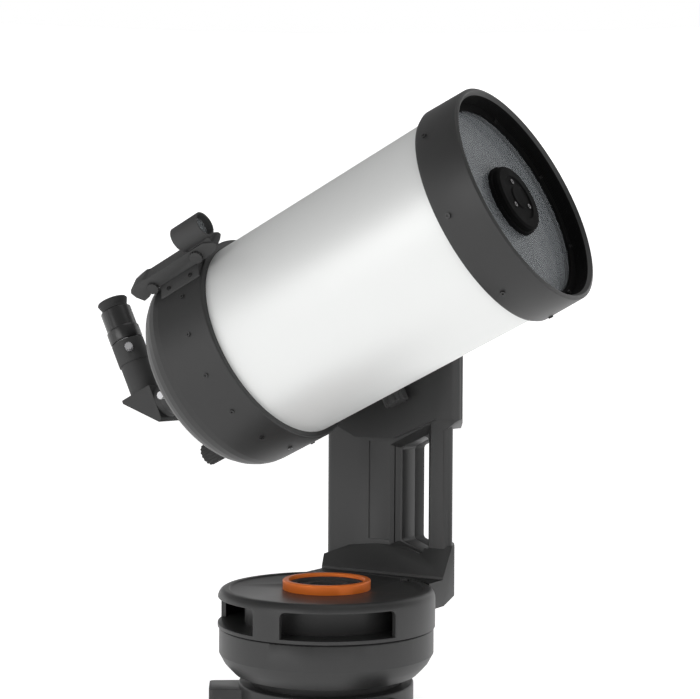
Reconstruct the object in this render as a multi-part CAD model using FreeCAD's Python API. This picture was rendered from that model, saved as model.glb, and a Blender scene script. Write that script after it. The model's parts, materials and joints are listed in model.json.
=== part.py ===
import FreeCAD, Part
import math
import os
from FreeCAD import Vector

# A Schmidt-Cassegrain telescope on a single-arm motorised altazimuth mount, with the head of its tripod.
# Frame: millimetres, +Z up, origin on the azimuth axis at the underside of the tripod head.
# At rest the tube points along +X and up, and the fork arm stands on the +Y side.

# ---------------------------------------------------------------- driving dimensions
# Fits and gaps
running_fit = 0.05       # radial gap of a shaft in its bore
slip_gap = 0.4           # gap between bodies that pass each other
seam_gap = 1.0           # gap between the turning drum and the fixed one
thread_fit = 0.05        # radial gap of a screw that turns in its hole

# Tripod head
head_radius = 92.0
head_height = 34.0
head_plate = 12.0
head_skirt = 8.0
lug_reach = 123.0
lug_width = 46.0
lug_slot = 25.0
lug_height = 27.0
lug_count = 3
first_lug_angle = 215.0
leg_pin_radius = 4.0
leg_pin_offset = 11.0
spreader_hole_radius = 5.0
spreader_boss_radius = 17.0
mount_bolt_radius = 5.0
mount_bolt_circle = 60.0
mount_bolt_grip = 13.0
mount_bolt_grip_height = 13.0
centre_pin_radius = 6.0
centre_pin_height = 14.0

# Drive base, the fixed lower drum
neck_radius = 80.0
neck_height = 10.0
base_radius = 113.0
base_height = 47.5
base_taper_height = 21.0
base_foot_radius = 97.0
base_wall = 5.0
base_floor = 6.0

# Turntable, the turning upper drum
drum_radius = 114.5
drum_height = 39.0
drum_wall = 5.0
drum_shoulder = 7.5
deck_thickness = 5.0
deck_drop = 1.5
lip_width = 4.0
floor_plate = 3.5
hub_wall_radius = 86.0
hub_wall = 3.0
hand_hole_start = 8.0    # degrees either side of the direction away from the arm
hand_hole_end = 69.0
hand_hole_height = 27.0
hand_hole_corner = 6.0
button_radius = 4.5
button_proud = 2.5
button_x = 44.0
button_y = 88.0

# Azimuth axis
spindle_radius = 18.0
spindle_bore = 9.0
bush_wall = 6.0
race_radius = 94.0
race_width = 8.0
race_height = 3.0
ball_radius = 2.0
ball_count = 36
clutch_ring_radius = 46.4
clutch_ring_height = 10.0
clutch_ring_wall = 6.4
clutch_knob_gap = 1.0
clutch_spokes = 6

# Worm drives, the same in both axes
wheel_teeth = 80
gear_module = 1.0
wheel_face = 6.0
worm_pitch_radius = 7.0
worm_length = 22.0
tooth_share = 0.37       # thickness of a tooth at the pitch line, as a share of the pitch
motor_radius = 8.5
motor_length = 30.0

# Fork arm
altitude_axis_height = 426.0
arm_face = 135.5         # inner face of the column, from the azimuth axis
arm_depth = 34.0
arm_cover_depth = 19.0
arm_wall = 4.0
arm_left = 87.0
arm_right = 73.5
arm_edge_radius = 8.0
flank_depth = 32.0
flank_middle = 13.0
flank_inset = 31.5
head_half_width = 85.5
head_raise = 4.5
head_low_edge = 281.0
head_low_left = 292.0
head_low_right = 305.0
window_left = 7.0
window_right = 43.5
window_taper = 7.0
window_low = 165.0
window_high = 270.0
window_rise = 17.0
window_drop = 13.0
window_bevel = 9.0
panel_left = -29.0
panel_right = -1.0
panel_depth = 1.5
foot_left = 88.0
foot_right = 77.0
foot_inner = 117.0
foot_slope_top = 156.0
foot_slope_low = 133.0
foot_bottom = 101.0
foot_rise = 26.0
foot_shoulder = 14.0     # how far the foot falls away at its left end
foot_taper = 8.0        # how far its left end narrows toward the drum
cover_post_radius = 6.0

# Altitude axis
axle_radius = 20.0
axle_bore = 11.0
altitude_knob_radius = 34.0
altitude_knob_depth = 15.0
altitude_ring_width = 6.0

# Optical tube; stations are measured along the optical axis from the altitude axis
rest_altitude = 26.0
tube_radius = 110.5
tube_wall = 1.6
ring_radius = 118.0
tube_front = 203.5
tube_rear = -71.5
tube_insert = 12.0
front_ring_end = 255.0
ring_shoulder = 3.5
front_bore = 109.5
aperture_radius = 101.6
corrector_station = 229.0
corrector_thickness = 5.0
retainer_thickness = 3.0
retainer_screws = 8
rear_cell_end = -178.0
rear_cell_round = 44.0
cell_wall = 4.0
port_boss_radius = 37.0
port_boss_height = 13.0
front_screw_count = 8
front_screw_station = 218.0
front_screw_phase = 7.5
rear_screw_count = 16
rear_screw_station = -98.0
rear_screw_phase = 15.0
ring_screw_radius = 2.6

# Mirrors and baffles
secondary_hole_radius = 33.0
secondary_flange_radius = 37.0
secondary_front = 245.0
secondary_mirror_radius = 28.0
primary_station = -112.0
primary_radius = 104.0
primary_thickness = 16.0
primary_hole_radius = 30.0
baffle_radius = 22.0
baffle_wall = 1.5
baffle_front = 70.0
carrier_radius = 90.0
focus_nut_radius = 6.0
focus_nut_length = 16.0
focus_radius_from_axis = 77.0
focus_angle = 271.0      # degrees from +Y towards the top of the tube
focus_screw_radius = 3.0
focus_knob_radius = 12.5
focus_knob_length = 31.0

# Dovetail, saddle and clamp
bar_thickness = 6.7
bar_half_width = 22.0
bar_rear = -78.0
bar_front = 214.0
dovetail_slope = 3.0
saddle_half_length = 45.0
saddle_plate = 4.6
jaw_width = 10.0
clamp_knob_radius = 14.0
clamp_knob_length = 46.0
clamp_station = -29.0
clamp_screw_radius = 4.0

# Visual back, star diagonal and eyepiece
visual_back_radius = 27.0
visual_back_ring = 12.0
visual_back_length = 28.0
barrel_radius = 15.875
diagonal_turn = 0.0      # degrees, eyepiece leaning away from the arm
diagonal_half = 21.0
diagonal_gap = 8.0
diagonal_width = 19.0
diagonal_socket_radius = 17.4
diagonal_socket_length = 36.0
holder_radius = 18.7
holder_length = 27.0
eyepiece_insert = 24.0
eyepiece_reveal = 1.0
eyepiece_body_radius = 19.0
eyepiece_ring_length = 14.0
eyepiece_body_length = 40.0
eyecup_radius = 17.6
eyecup_length = 11.0
thumbscrew_radius = 4.5
thumbscrew_length = 10.0
diagonal_screw_turn = 36.0   # degrees about the eyepiece axis, from the side away from the arm

# Sight finder
finder_angle = 131.0     # degrees from +Y towards the top of the tube
finder_station = -101.0
shoe_length = 54.0
shoe_half_width = 10.4
shoe_foot_half_width = 25.0
shoe_height = 5.0
shoe_screw_offset = 15.4
shoe_screw_side = 19.0
rail_height = 15.5
finder_rail_rear = -162.0
finder_rail_front = -42.0
finder_rail_half_width = 10.5
finder_foot_length = 48.0
hood_radius = 13.8
hood_wall = 2.0
hood_length = 36.0
hood_station = -60.0
hood_sink = 0.8
finder_knob_station = -70.0
finder_knob_height = 6.8
finder_knob_radius = 7.0
finder_switch_station = -136.0
finder_switch_height = 3.4
finder_switch_radius = 6.5

# ---------------------------------------------------------------- places worked out from them
base_low = head_height + neck_height
base_top = base_low + base_height
drum_low = base_top + seam_gap
drum_top = drum_low + drum_height
deck_top = drum_top - deck_drop
deck_low = deck_top - deck_thickness
floor_top = drum_low + floor_plate
hand_hole_low = floor_top
clutch_knob_radius = clutch_ring_radius - clutch_ring_wall - clutch_knob_gap
wheel_pitch_radius = wheel_teeth * gear_module / 2
worm_distance = wheel_pitch_radius + worm_pitch_radius
azimuth_wheel_height = floor_top + worm_pitch_radius + gear_module + 2.0
arm_outer = arm_face + arm_depth
cover_outer = arm_outer + arm_cover_depth
head_face = arm_face - head_raise
bar_face = ring_radius + slip_gap
bar_back = bar_face + bar_thickness
saddle_back = bar_back + saddle_plate
altitude_wheel_place = arm_face + arm_wall + 6.0 + wheel_face / 2
port_end = rear_cell_end - port_boss_height
visual_back_end = port_end - visual_back_ring - visual_back_length
diagonal_station = visual_back_end - diagonal_gap - diagonal_half
socket_top = diagonal_half + diagonal_socket_length + holder_length
X, Y, Z = Vector(1, 0, 0), Vector(0, 1, 0), Vector(0, 0, 1)
nodes = {}


# ---------------------------------------------------------------- shape helpers
def block(x0, x1, y0, y1, z0, z1):
    """A box between two values on each axis."""
    return Part.makeBox(x1 - x0, y1 - y0, z1 - z0, Vector(x0, y0, z0))


def rod(radius, length, base=Vector(0, 0, 0), direction=Z):
    """A solid cylinder from its base centre along a direction."""
    return Part.makeCylinder(radius, length, base, direction)


def pipe(outer, inner, length, base=Vector(0, 0, 0), direction=Z):
    """A hollow cylinder."""
    spare = direction * 1.0
    return rod(outer, length, base, direction).cut(rod(inner, length + 2.0, base - spare, direction))


def closed_face(points):
    """A flat face with straight edges through the points."""
    return Part.Face(Part.makePolygon(list(points) + [points[0]]))


def turned(profile):
    """A profile of (station, radius) pairs revolved about the X axis."""
    face = closed_face([Vector(station, radius, 0) for station, radius in profile])
    return face.revolve(Vector(0, 0, 0), X, 360)


def lathed(profile):
    """A profile of (radius, height) pairs revolved about the Z axis."""
    face = closed_face([Vector(radius, 0, height) for radius, height in profile])
    return face.revolve(Vector(0, 0, 0), Z, 360)


def slab(profile, y0, y1):
    """A profile of (x, z) pairs extruded along Y."""
    face = closed_face([Vector(x, y0, z) for x, z in profile])
    return face.extrude(Y * (y1 - y0))


def cross_slab(profile, x0, x1):
    """A profile of (y, z) pairs extruded along X."""
    face = closed_face([Vector(x0, y, z) for y, z in profile])
    return face.extrude(X * (x1 - x0))


def joined(shapes):
    """The union of a list of shapes, with split faces merged."""
    shapes = list(shapes)
    return shapes[0].multiFuse(shapes[1:]).removeSplitter()


def grouped(shapes):
    """Separate solids that share a node."""
    return Part.makeCompound(list(shapes))


def spun(shape, angle, axis=Z, centre=Vector(0, 0, 0)):
    """A copy turned about an axis."""
    copy = shape.copy()
    copy.rotate(centre, axis, angle)
    return copy


def shifted(shape, x=0.0, y=0.0, z=0.0):
    """A copy moved by a vector."""
    copy = shape.copy()
    copy.translate(Vector(x, y, z))
    return copy


def rounded(shape, radius, picks):
    """The shape with a fillet on each edge that the test picks."""
    edges = [edge for edge in shape.Edges if picks(edge)]
    return shape.makeFillet(radius, edges)


def rim_at(station, radius, axis="x"):
    """A test for the circular edge at a station and radius of a turned shape."""
    def test(edge):
        box = edge.BoundBox
        low, high = (box.XMin, box.XMax) if axis == "x" else (box.ZMin, box.ZMax)
        reach = box.YMax
        return abs(low - station) < 0.01 and abs(high - station) < 0.01 and abs(reach - radius) < 0.01
    return test


def fluted(radius, length, count, depth, base, direction):
    """A round grip with scallops cut along it."""
    grip = rod(radius, length, base, direction)
    side = direction.cross(Z if abs(direction.z) < 0.9 else X)
    side.normalize()
    cutter = rod(depth * 1.6, length + 2.0, base - direction + side * (radius + depth * 0.6), direction)
    cuts = [spun(cutter, 360.0 * i / count, direction, base) for i in range(count)]
    return grip.cut(Part.makeCompound(cuts))


def screw(radius, length, base, direction):
    """A pan-head screw: a low head outside the base point and a shank inside it."""
    head = rod(radius, radius * 0.8, base, direction)
    shank = rod(radius * 0.5, length, base - direction * length, direction)
    socket = rod(radius * 0.45, radius * 0.5, base + direction * (radius * 0.4), direction)
    return joined([head, shank]).cut(socket)


def on_tube(shape):
    """Carries a shape from the tube's own frame to its rest place on the altitude axis."""
    copy = shape.copy()
    copy.rotate(Vector(0, 0, 0), Y, -rest_altitude)
    copy.translate(Vector(0, 0, altitude_axis_height))
    return copy


def radial(angle):
    """The direction across the tube at an angle from +Y towards the top of the tube."""
    return Vector(0, math.cos(math.radians(angle)), math.sin(math.radians(angle)))


# ---------------------------------------------------------------- worm drive pieces
def worm_wheel(bore):
    """A worm wheel about Z, with a tooth gap facing +Y, centred on its face."""
    pitch_angle = 2 * math.pi / wheel_teeth
    tip = wheel_pitch_radius + gear_module
    root = wheel_pitch_radius - gear_module * 1.25
    points = []
    for tooth in range(wheel_teeth):
        middle = math.pi / 2 + pitch_angle * (tooth + 0.5)
        half_root = pitch_angle * (tooth_share / 2 + 0.09)
        half_tip = pitch_angle * (tooth_share / 2 - 0.09)
        for radius, turn in ((root, -half_root), (tip, -half_tip), (tip, half_tip), (root, half_root)):
            points.append(Vector(radius * math.cos(middle + turn), radius * math.sin(middle + turn), 0))
    blank = closed_face(points).extrude(Z * wheel_face)
    hole = rod(6.0, wheel_face + 2.0, Vector((bore + root) / 2, 0, -1.0))
    ring = [spun(hole, 60.0 * i + 30.0) for i in range(6)]
    wheel = blank.cut(rod(bore, wheel_face + 2.0, Vector(0, 0, -1.0))).cut(Part.makeCompound(ring))
    return shifted(wheel, z=-wheel_face / 2)


def worm(shaft_length):
    """A single-start right-hand worm along X, centred, its thread at the wheel's tooth gap."""
    pitch = math.pi * gear_module
    root = worm_pitch_radius - gear_module * 1.25
    tip = worm_pitch_radius + gear_module
    turns = int(worm_length / pitch) - 1
    helix = Part.makeHelix(pitch, turns * pitch, root)
    half_root = pitch * (tooth_share / 2 + 0.09)
    half_tip = pitch * (tooth_share / 2 - 0.09)
    inner = root - 0.6
    section = Part.makePolygon([
        Vector(inner, 0, -half_root - 0.1), Vector(tip, 0, -half_tip),
        Vector(tip, 0, half_tip), Vector(inner, 0, half_root + 0.1),
        Vector(inner, 0, -half_root - 0.1)])
    thread = Part.Wire(helix).makePipeShell([section], True, True)
    thread = Part.Solid(thread) if thread.ShapeType == "Shell" else thread
    thread = shifted(thread, z=-turns * pitch / 2)
    core = rod(root, worm_length, Vector(0, 0, -worm_length / 2))
    shaft = rod(3.0, shaft_length, Vector(0, 0, -shaft_length / 2))
    along_z = core.fuse(shaft).fuse(thread)
    return spun(spun(along_z, -90.0, Z), 90.0, Y)


def worm_block(shaft_length, floor):
    """Two bearing plates that carry the worm shaft, on a foot at a floor distance below the shaft."""
    plate_x = worm_length / 2 + 3.0
    wide = worm_pitch_radius + gear_module
    plates = [block(x, x + 4.0, -wide, wide, -floor, 7.0) for x in (plate_x, -plate_x - 4.0)]
    foot = block(-plate_x - 4.0, plate_x + 4.0, wide - 2.0, wide + 3.0, -floor, -floor + 2.5)
    ribs = [block(x, x + 4.0, wide - 2.0, wide + 3.0, -floor, 7.0) for x in (plate_x, -plate_x - 4.0)]
    body = joined(plates + [foot] + ribs)
    return body.cut(rod(3.0 + running_fit, shaft_length + 20.0, Vector(-shaft_length / 2 - 10.0, 0, 0), X))


def gear_motor(length):
    """A round motor with a gearbox collar, along X from its mounting face."""
    can = rod(motor_radius, length, Vector(4.0, 0, 0), X)
    box = rod(motor_radius - 1.0, 4.0, Vector(0, 0, 0), X)
    tail = rod(3.0, 3.0, Vector(length + 4.0, 0, 0), X)
    return joined([box, can, tail])


# ---------------------------------------------------------------- tripod head
def lug(angle):
    """One leg hinge: a block with a slot for the leg and a cross bore for its pin."""
    half = lug_width / 2
    body = block(head_radius - 20.0, lug_reach, -half, half, 2.0, 2.0 + lug_height)
    body = rounded(body, 5.0, lambda e: e.BoundBox.XMin > lug_reach - 0.1 and e.BoundBox.ZLength > 5.0)
    slot_x = head_radius + 3.0
    slot = block(slot_x, lug_reach + 1.0, -lug_slot / 2, lug_slot / 2, 0.0, lug_height - 4.0)
    pin = rod(leg_pin_radius, lug_width + 2.0, Vector(lug_reach - leg_pin_offset, -half - 1.0, 13.0), Y)
    return spun(body.cut(slot).cut(pin), angle)


def bolt_places():
    """Angles of the bolts that hold the drive base on the tripod head."""
    return [first_lug_angle + 60.0 + 360.0 * i / lug_count for i in range(lug_count)]


def make_tripod_head():
    plate = rod(head_radius, head_plate, Vector(0, 0, head_height - head_plate))
    skirt = pipe(head_radius, head_radius - head_skirt, head_height)
    boss = rod(spreader_boss_radius, head_height)
    lugs = [lug(first_lug_angle + 360.0 * i / lug_count) for i in range(lug_count)]
    ribs = []
    for i in range(lug_count):
        rib = block(spreader_boss_radius - 2.0, head_radius - 4.0, -4.0, 4.0, 4.0, head_height - 2.0)
        ribs.append(spun(rib, first_lug_angle + 360.0 * i / lug_count))
    body = joined([plate, skirt, boss] + lugs + ribs)
    cuts = [rod(spreader_hole_radius, head_height - head_plate, Vector(0, 0, -1.0))]
    cuts.append(rod(centre_pin_radius, head_plate - 2.0, Vector(0, 0, head_height - head_plate + 2.0)))
    for angle in bolt_places():
        hole = rod(mount_bolt_radius + thread_fit, head_plate + 2.0,
                   Vector(mount_bolt_circle, 0, head_height - head_plate - 1.0))
        cuts.append(spun(hole, angle))
    body = body.cut(Part.makeCompound(cuts))
    top_rim = rim_at(head_height, head_radius, "z")
    return rounded(body, 2.0, lambda e: top_rim(e) and e.Length > 100.0)


def make_mount_bolts():
    head_under = head_height - head_plate
    at = Vector(mount_bolt_circle, 0, 0)
    shank = rod(mount_bolt_radius, head_plate + neck_height + 10.0, at + Z * head_under)
    grip_low = at + Z * (head_under - mount_bolt_grip_height)
    grip = fluted(mount_bolt_grip, mount_bolt_grip_height, 8, 2.2, grip_low, Z)
    bolt = joined([grip, shank])
    return grouped([spun(bolt, angle) for angle in bolt_places()])


def make_centre_pin():
    low = head_height - head_plate + 2.0
    return rounded(rod(centre_pin_radius, centre_pin_height + head_plate - 2.0, Vector(0, 0, low)), 1.5,
                   rim_at(low + centre_pin_height + head_plate - 2.0, centre_pin_radius, "z"))


# ---------------------------------------------------------------- drive base and azimuth axis
def make_drive_base():
    race_seat = drum_low - 2 * ball_radius - 1.5 - race_height - 0.05
    inner = base_radius - base_wall
    taper_top = base_low + base_taper_height
    floor_z = base_low + base_floor
    shell = lathed([
        (0, head_height), (neck_radius, head_height), (neck_radius, base_low), (base_foot_radius, base_low),
        (base_foot_radius + 5.0, base_low + 5.0), (base_foot_radius + 10.5, base_low + 11.0),
        (base_radius, taper_top), (base_radius, base_top), (inner, base_top),
        (inner, race_seat), (race_radius - race_width / 2 - 2.0, race_seat),
        (race_radius - race_width / 2 - 2.0, race_seat - 5.0), (inner - 4.0, race_seat - 5.0),
        (inner - 4.0, taper_top), (base_foot_radius - 1.0, floor_z), (0, floor_z)])
    shell = rounded(shell, 1.5, rim_at(base_top, base_radius, "z"))
    posts = [spun(rod(12.0, 14.0, Vector(mount_bolt_circle, 0, floor_z - 1.0)), a) for a in bolt_places()]
    shell = joined([shell] + posts)
    cuts = [rod(centre_pin_radius + 0.1, base_floor + neck_height + 2.0, Vector(0, 0, head_height - 1.0))]
    for angle in bolt_places():
        hole = rod(mount_bolt_radius + thread_fit, neck_height + 12.0,
                   Vector(mount_bolt_circle, 0, head_height - 1.0))
        cuts.append(spun(hole, angle))
    return shell.cut(Part.makeCompound(cuts))


def make_azimuth_spindle():
    floor_z = base_low + base_floor
    top = drum_top - 3.0
    flange = rod(spindle_radius + 14.0, 6.0, Vector(0, 0, floor_z))
    shaft = rod(spindle_radius, top - floor_z, Vector(0, 0, floor_z))
    body = joined([flange, shaft]).cut(rod(spindle_bore, top - floor_z + 2.0, Vector(0, 0, floor_z - 1.0)))
    screws = [spun(rod(2.2, 8.0, Vector(spindle_radius + 8.0, 0, floor_z - 1.0)), 60.0 * i) for i in range(6)]
    return body.cut(Part.makeCompound(screws))


def make_bearing():
    race_low = drum_low - 2 * ball_radius - 1.5 - race_height - 0.05
    half = race_width / 2
    lower = pipe(race_radius + half, race_radius - half, race_height, Vector(0, 0, race_low))
    upper_low = drum_low - 1.5
    upper = pipe(race_radius + half, race_radius - half, 1.5, Vector(0, 0, upper_low))
    centre = race_low + race_height + 0.05 + ball_radius
    ball = Part.makeSphere(ball_radius, Vector(race_radius, 0, centre))
    balls = [spun(ball, 360.0 * i / ball_count) for i in range(ball_count)]
    cage = pipe(race_radius + half - 0.5, race_radius - half + 0.5, 1.2, Vector(0, 0, centre - 0.6))
    pocket = rod(ball_radius + 0.15, 4.0, Vector(race_radius, 0, centre - 2.0))
    cage = cage.cut(Part.makeCompound([spun(pocket, 360.0 * i / ball_count) for i in range(ball_count)]))
    return lower, upper, grouped(balls + [cage])


def make_azimuth_wheel():
    return shifted(worm_wheel(spindle_radius), z=azimuth_wheel_height)


def make_azimuth_bush():
    return pipe(spindle_radius + bush_wall, spindle_radius + running_fit, floor_plate + 5.0,
                Vector(0, 0, drum_low - 3.0))


def clutch_knob(radius, hub, depth):
    """A dished hand knob about Z from z = 0, with a rim, radial spokes and a round hub."""
    rim = pipe(radius, radius - 4.5, depth)
    web = pipe(radius - 2.0, hub, 3.0)
    hub_ring = pipe(hub + 7.0, hub, depth - 2.0)
    spokes = []
    for i in range(clutch_spokes):
        spoke = block(hub + 4.0, radius - 2.0, -2.2, 2.2, 1.0, depth - 3.0)
        spokes.append(spun(spoke, 360.0 * i / clutch_spokes))
    return joined([rim, web, hub_ring] + spokes)


def make_azimuth_clutch_knob():
    return shifted(clutch_knob(clutch_knob_radius, spindle_radius + thread_fit, 11.0), z=deck_low + slip_gap)


# ---------------------------------------------------------------- turntable
def hand_hole(side):
    """A cutter for one hand hole: a sector of the drum wall with rounded upper corners."""
    start = -90.0 + side * hand_hole_start
    sweep = side * (hand_hole_end - hand_hole_start)
    inner = hub_wall_radius + 4.0
    face = closed_face([
        Vector(inner, 0, hand_hole_low), Vector(drum_radius + 5.0, 0, hand_hole_low),
        Vector(drum_radius + 5.0, 0, hand_hole_low + hand_hole_height),
        Vector(inner, 0, hand_hole_low + hand_hole_height)])
    cutter = spun(face, start).revolve(Vector(0, 0, 0), Z * side, abs(sweep))
    top = hand_hole_low + hand_hole_height
    return rounded(cutter, hand_hole_corner,
                   lambda e: e.BoundBox.ZLength < 0.01 and abs(e.BoundBox.ZMax - top) < 0.01
                   and len(e.Vertexes) == 2 and abs(e.Length - (drum_radius + 5.0 - inner)) < 0.01)


def make_turntable_shell():
    inner = drum_radius - drum_wall
    hub_in = hub_wall_radius - hub_wall
    bore = clutch_ring_radius - clutch_ring_wall
    shoulder = drum_shoulder
    arc = [(drum_radius - shoulder * (1 - math.cos(math.radians(a))),
            drum_top - shoulder * 1.3 * (1 - math.sin(math.radians(a)))) for a in range(0, 91, 15)]
    profile = [(inner, drum_low), (drum_radius, drum_low)] + arc
    lip_inner = drum_radius - shoulder - lip_width
    profile += [(lip_inner, drum_top), (lip_inner - deck_drop, deck_top), (bore, deck_top), (bore, deck_low)]
    profile += [(hub_in, deck_low), (hub_in, floor_top), (hub_wall_radius, floor_top),
                (hub_wall_radius, deck_low), (inner, deck_low)]
    shell = lathed(profile)
    button = rod(button_radius + slip_gap, deck_thickness + 5.0, Vector(button_x, button_y, deck_low - 1.0))
    return shell.cut(hand_hole(1)).cut(hand_hole(-1)).cut(button)


def make_turntable_floor():
    plate = pipe(drum_radius - drum_wall, spindle_radius + bush_wall, floor_plate, Vector(0, 0, drum_low))
    return plate


def make_floor_screws():
    place = Vector(hub_wall_radius - 10.0, 0, floor_top)
    return [spun(screw(3.0, floor_plate, place, Z), 45.0 * i + 22.5) for i in range(3, 8)]


def make_azimuth_ring():
    low = deck_top
    inner = clutch_ring_radius - clutch_ring_wall
    ring = pipe(clutch_ring_radius, inner, clutch_ring_height, Vector(0, 0, low))
    ring = rounded(ring, 1.6, rim_at(low + clutch_ring_height, clutch_ring_radius, "z"))
    return rounded(ring, 1.6, rim_at(low + clutch_ring_height, inner, "z"))


def make_azimuth_worm():
    return shifted(worm(worm_length + 24.0), y=worm_distance, z=azimuth_wheel_height)


def make_azimuth_block():
    piece = worm_block(worm_length + 24.0, azimuth_wheel_height - floor_top)
    return shifted(piece, y=worm_distance, z=azimuth_wheel_height)


def make_azimuth_motor():
    start = worm_length / 2 + 13.0
    return shifted(gear_motor(motor_length - 8.0), x=start, y=worm_distance, z=azimuth_wheel_height)


def make_power_button():
    """A round push button in the deck beside the arm's foot, held up by a collar under the deck."""
    low = deck_low - slip_gap - 1.5
    stem = rod(button_radius, deck_top + button_proud - low, Vector(button_x, button_y, low))
    stem = rounded(stem, 0.8, lambda e: abs(e.BoundBox.ZMin - deck_top - button_proud) < 0.01
                   and e.BoundBox.ZLength < 0.01)
    return joined([stem, rod(button_radius + 1.5, 1.5, Vector(button_x, button_y, low))])


def make_port_panel():
    """A curved plate with round and square sockets, in the drum wall behind the arm."""
    z0 = floor_top + 5.0
    plate = pipe(drum_radius + 1.2, drum_radius, 20.0, Vector(0, 0, z0))
    keep = block(drum_radius - 30.0, drum_radius + 5.0, -27.0, 27.0, z0, z0 + 20.0)
    plate = plate.common(keep)
    sockets = [rod(3.4, 12.0, Vector(drum_radius - 6.0, y, z0 + 10.0), X) for y in (-20.0, 20.0)]
    sockets += [block(drum_radius - 6.0, drum_radius + 6.0, y - 5.0, y + 5.0, z0 + 5.5, z0 + 14.5)
                for y in (-7.0, 7.0)]
    return spun(plate.cut(Part.makeCompound(sockets)), 178.0)


# ---------------------------------------------------------------- fork arm
def arm_plan(left, right, front, inset, low, high):
    """The arm seen from above, extruded upwards: a flat inner face and flanks that curve to the outer face."""
    left, right, back = left - inset, right - inset, cover_outer - inset
    front = front + inset
    flank = arm_face + flank_depth
    edge = arm_edge_radius
    lean = edge * (1 - math.cos(math.radians(45)))
    corner_right = Part.Arc(Vector(right - edge, front, low), Vector(right - lean, front + lean, low),
                            Vector(right, front + edge, low))
    side_right = Part.Arc(Vector(right, front + edge, low), Vector(right - flank_middle, flank, low),
                          Vector(right - flank_inset, back, low))
    back_line = Part.LineSegment(Vector(right - flank_inset, back, low), Vector(flank_inset - left, back, low))
    side_left = Part.Arc(Vector(flank_inset - left, back, low), Vector(flank_middle - left, flank, low),
                         Vector(-left, front + edge, low))
    corner_left = Part.Arc(Vector(-left, front + edge, low), Vector(lean - left, front + lean, low),
                           Vector(edge - left, front, low))
    front_line = Part.LineSegment(Vector(edge - left, front, low), Vector(right - edge, front, low))
    curves = [corner_right, side_right, back_line, side_left, corner_left, front_line]
    return Part.Face(Part.Wire([curve.toShape() for curve in curves])).extrude(Z * (high - low))


def arm_body(y0, y1, inset):
    """The column and head of the arm between two distances from the azimuth axis."""
    low, middle = foot_slope_low - 6.0 + inset, head_low_right + 20.0
    column = arm_plan(arm_left, arm_right, arm_face, inset, low, middle)
    top = altitude_axis_height + head_half_width
    head = arm_plan(head_half_width, head_half_width, arm_face, inset, head_low_left - 6.0, top)
    half = head_half_width - inset
    left, right = arm_left - inset, arm_right - inset
    outline = slab([
        (-half, head_low_left + 4.0 + inset), (4.0 - left, head_low_left - 6.0 + inset),
        (right - 4.0, head_low_right - 12.0 + inset), (half, head_low_right + inset),
        (half, altitude_axis_height), (-half, altitude_axis_height)], arm_face, cover_outer)
    crown = rod(half, cover_outer - arm_face, Vector(0, arm_face, altitude_axis_height), Y)
    head = head.common(joined([outline, crown]))
    band = block(-head_half_width - 5.0, head_half_width + 5.0, y0, y1, low - 1.0, top + 1.0)
    return joined([column, head]).common(band)


def window_profile(spread):
    """The hand window seen along Y, grown by a spread."""
    return [
        (window_left - spread, window_low - spread * 0.4),
        (window_left - spread, window_high + spread * 0.4),
        (window_right + spread * 0.9, window_high + window_rise + spread * 1.5),
        (window_right + spread * 0.6, window_low - window_drop - spread * 1.5)]


def window_cutter(y0, y1):
    """The window's straight passage, with its corners rounded."""
    front = window_profile(0.0)
    back = [(x + window_taper if x < window_right else x, z) for x, z in front]
    wires = [Part.makePolygon([Vector(x, y, z) for x, z in profile + profile[:1]])
             for y, profile in ((y0, front), (y1, back))]
    cutter = Part.makeLoft(wires, True, True)
    return rounded(cutter, 5.0, lambda e: e.BoundBox.YLength > 5.0)


def window_flare(depth, y0):
    """The bevelled frame around the window at the face at y0."""
    outer = Part.makePolygon([Vector(x, y0 - 0.5, z) for x, z in window_profile(window_bevel)
                              + window_profile(window_bevel)[:1]])
    inner = Part.makePolygon([Vector(x, y0 + depth, z) for x, z in window_profile(0.0)
                              + window_profile(0.0)[:1]])
    return Part.makeLoft([outer, inner], True, True)


def foot_block(y0, y1):
    """The arm's foot: a sloping skirt over the deck, curving down around the outside of the drum."""
    profile = [
        (foot_inner, deck_top), (foot_inner, foot_slope_low), (arm_face + 2.0, foot_slope_top + 8.0),
        (cover_outer, foot_slope_top + 8.0), (cover_outer, foot_bottom + 2 * foot_rise),
        (cover_outer - 8.0, foot_bottom + 1.35 * foot_rise),
        (cover_outer - 24.0, foot_bottom + 0.75 * foot_rise),
        (cover_outer - 46.0, foot_bottom + 0.3 * foot_rise), (drum_radius + 4.0, foot_bottom),
        (drum_radius * 0.7, foot_bottom), (drum_radius * 0.7, deck_top)]
    body = cross_slab(profile, -foot_left, foot_right)
    flank = arm_face + flank_depth
    plan = closed_face([
        Vector(foot_taper - foot_left, 0, 0), Vector(foot_right, 0, 0),
        Vector(foot_right, arm_face + arm_edge_radius, 0),
        Vector(foot_right - flank_middle, flank, 0), Vector(foot_right - flank_inset - 3.0, cover_outer, 0),
        Vector(flank_inset + 3.0 - foot_left, cover_outer, 0), Vector(flank_middle - foot_left, flank, 0),
        Vector(-foot_left, arm_face + arm_edge_radius, 0),
        Vector(foot_taper - foot_left, foot_inner, 0)]).extrude(Z * 400.0)
    band = block(-foot_left, foot_right, y0, y1, 0.0, 400.0)
    body = body.common(plan).common(band)
    top = foot_slope_top + 8.0
    end = -foot_left - 1.0
    shoulder = slab([(end, top - 1.5 * foot_shoulder), (0.6 * end, top - 0.5 * foot_shoulder),
                     (window_left, top), (window_left, top + 1.0), (end, top + 1.0)],
                    foot_inner - 1.0, cover_outer + 1.0)
    body = body.cut(shoulder)
    return body.cut(rod(drum_radius, deck_top - foot_bottom + 1.0, Vector(0, 0, foot_bottom - 1.0)))


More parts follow.
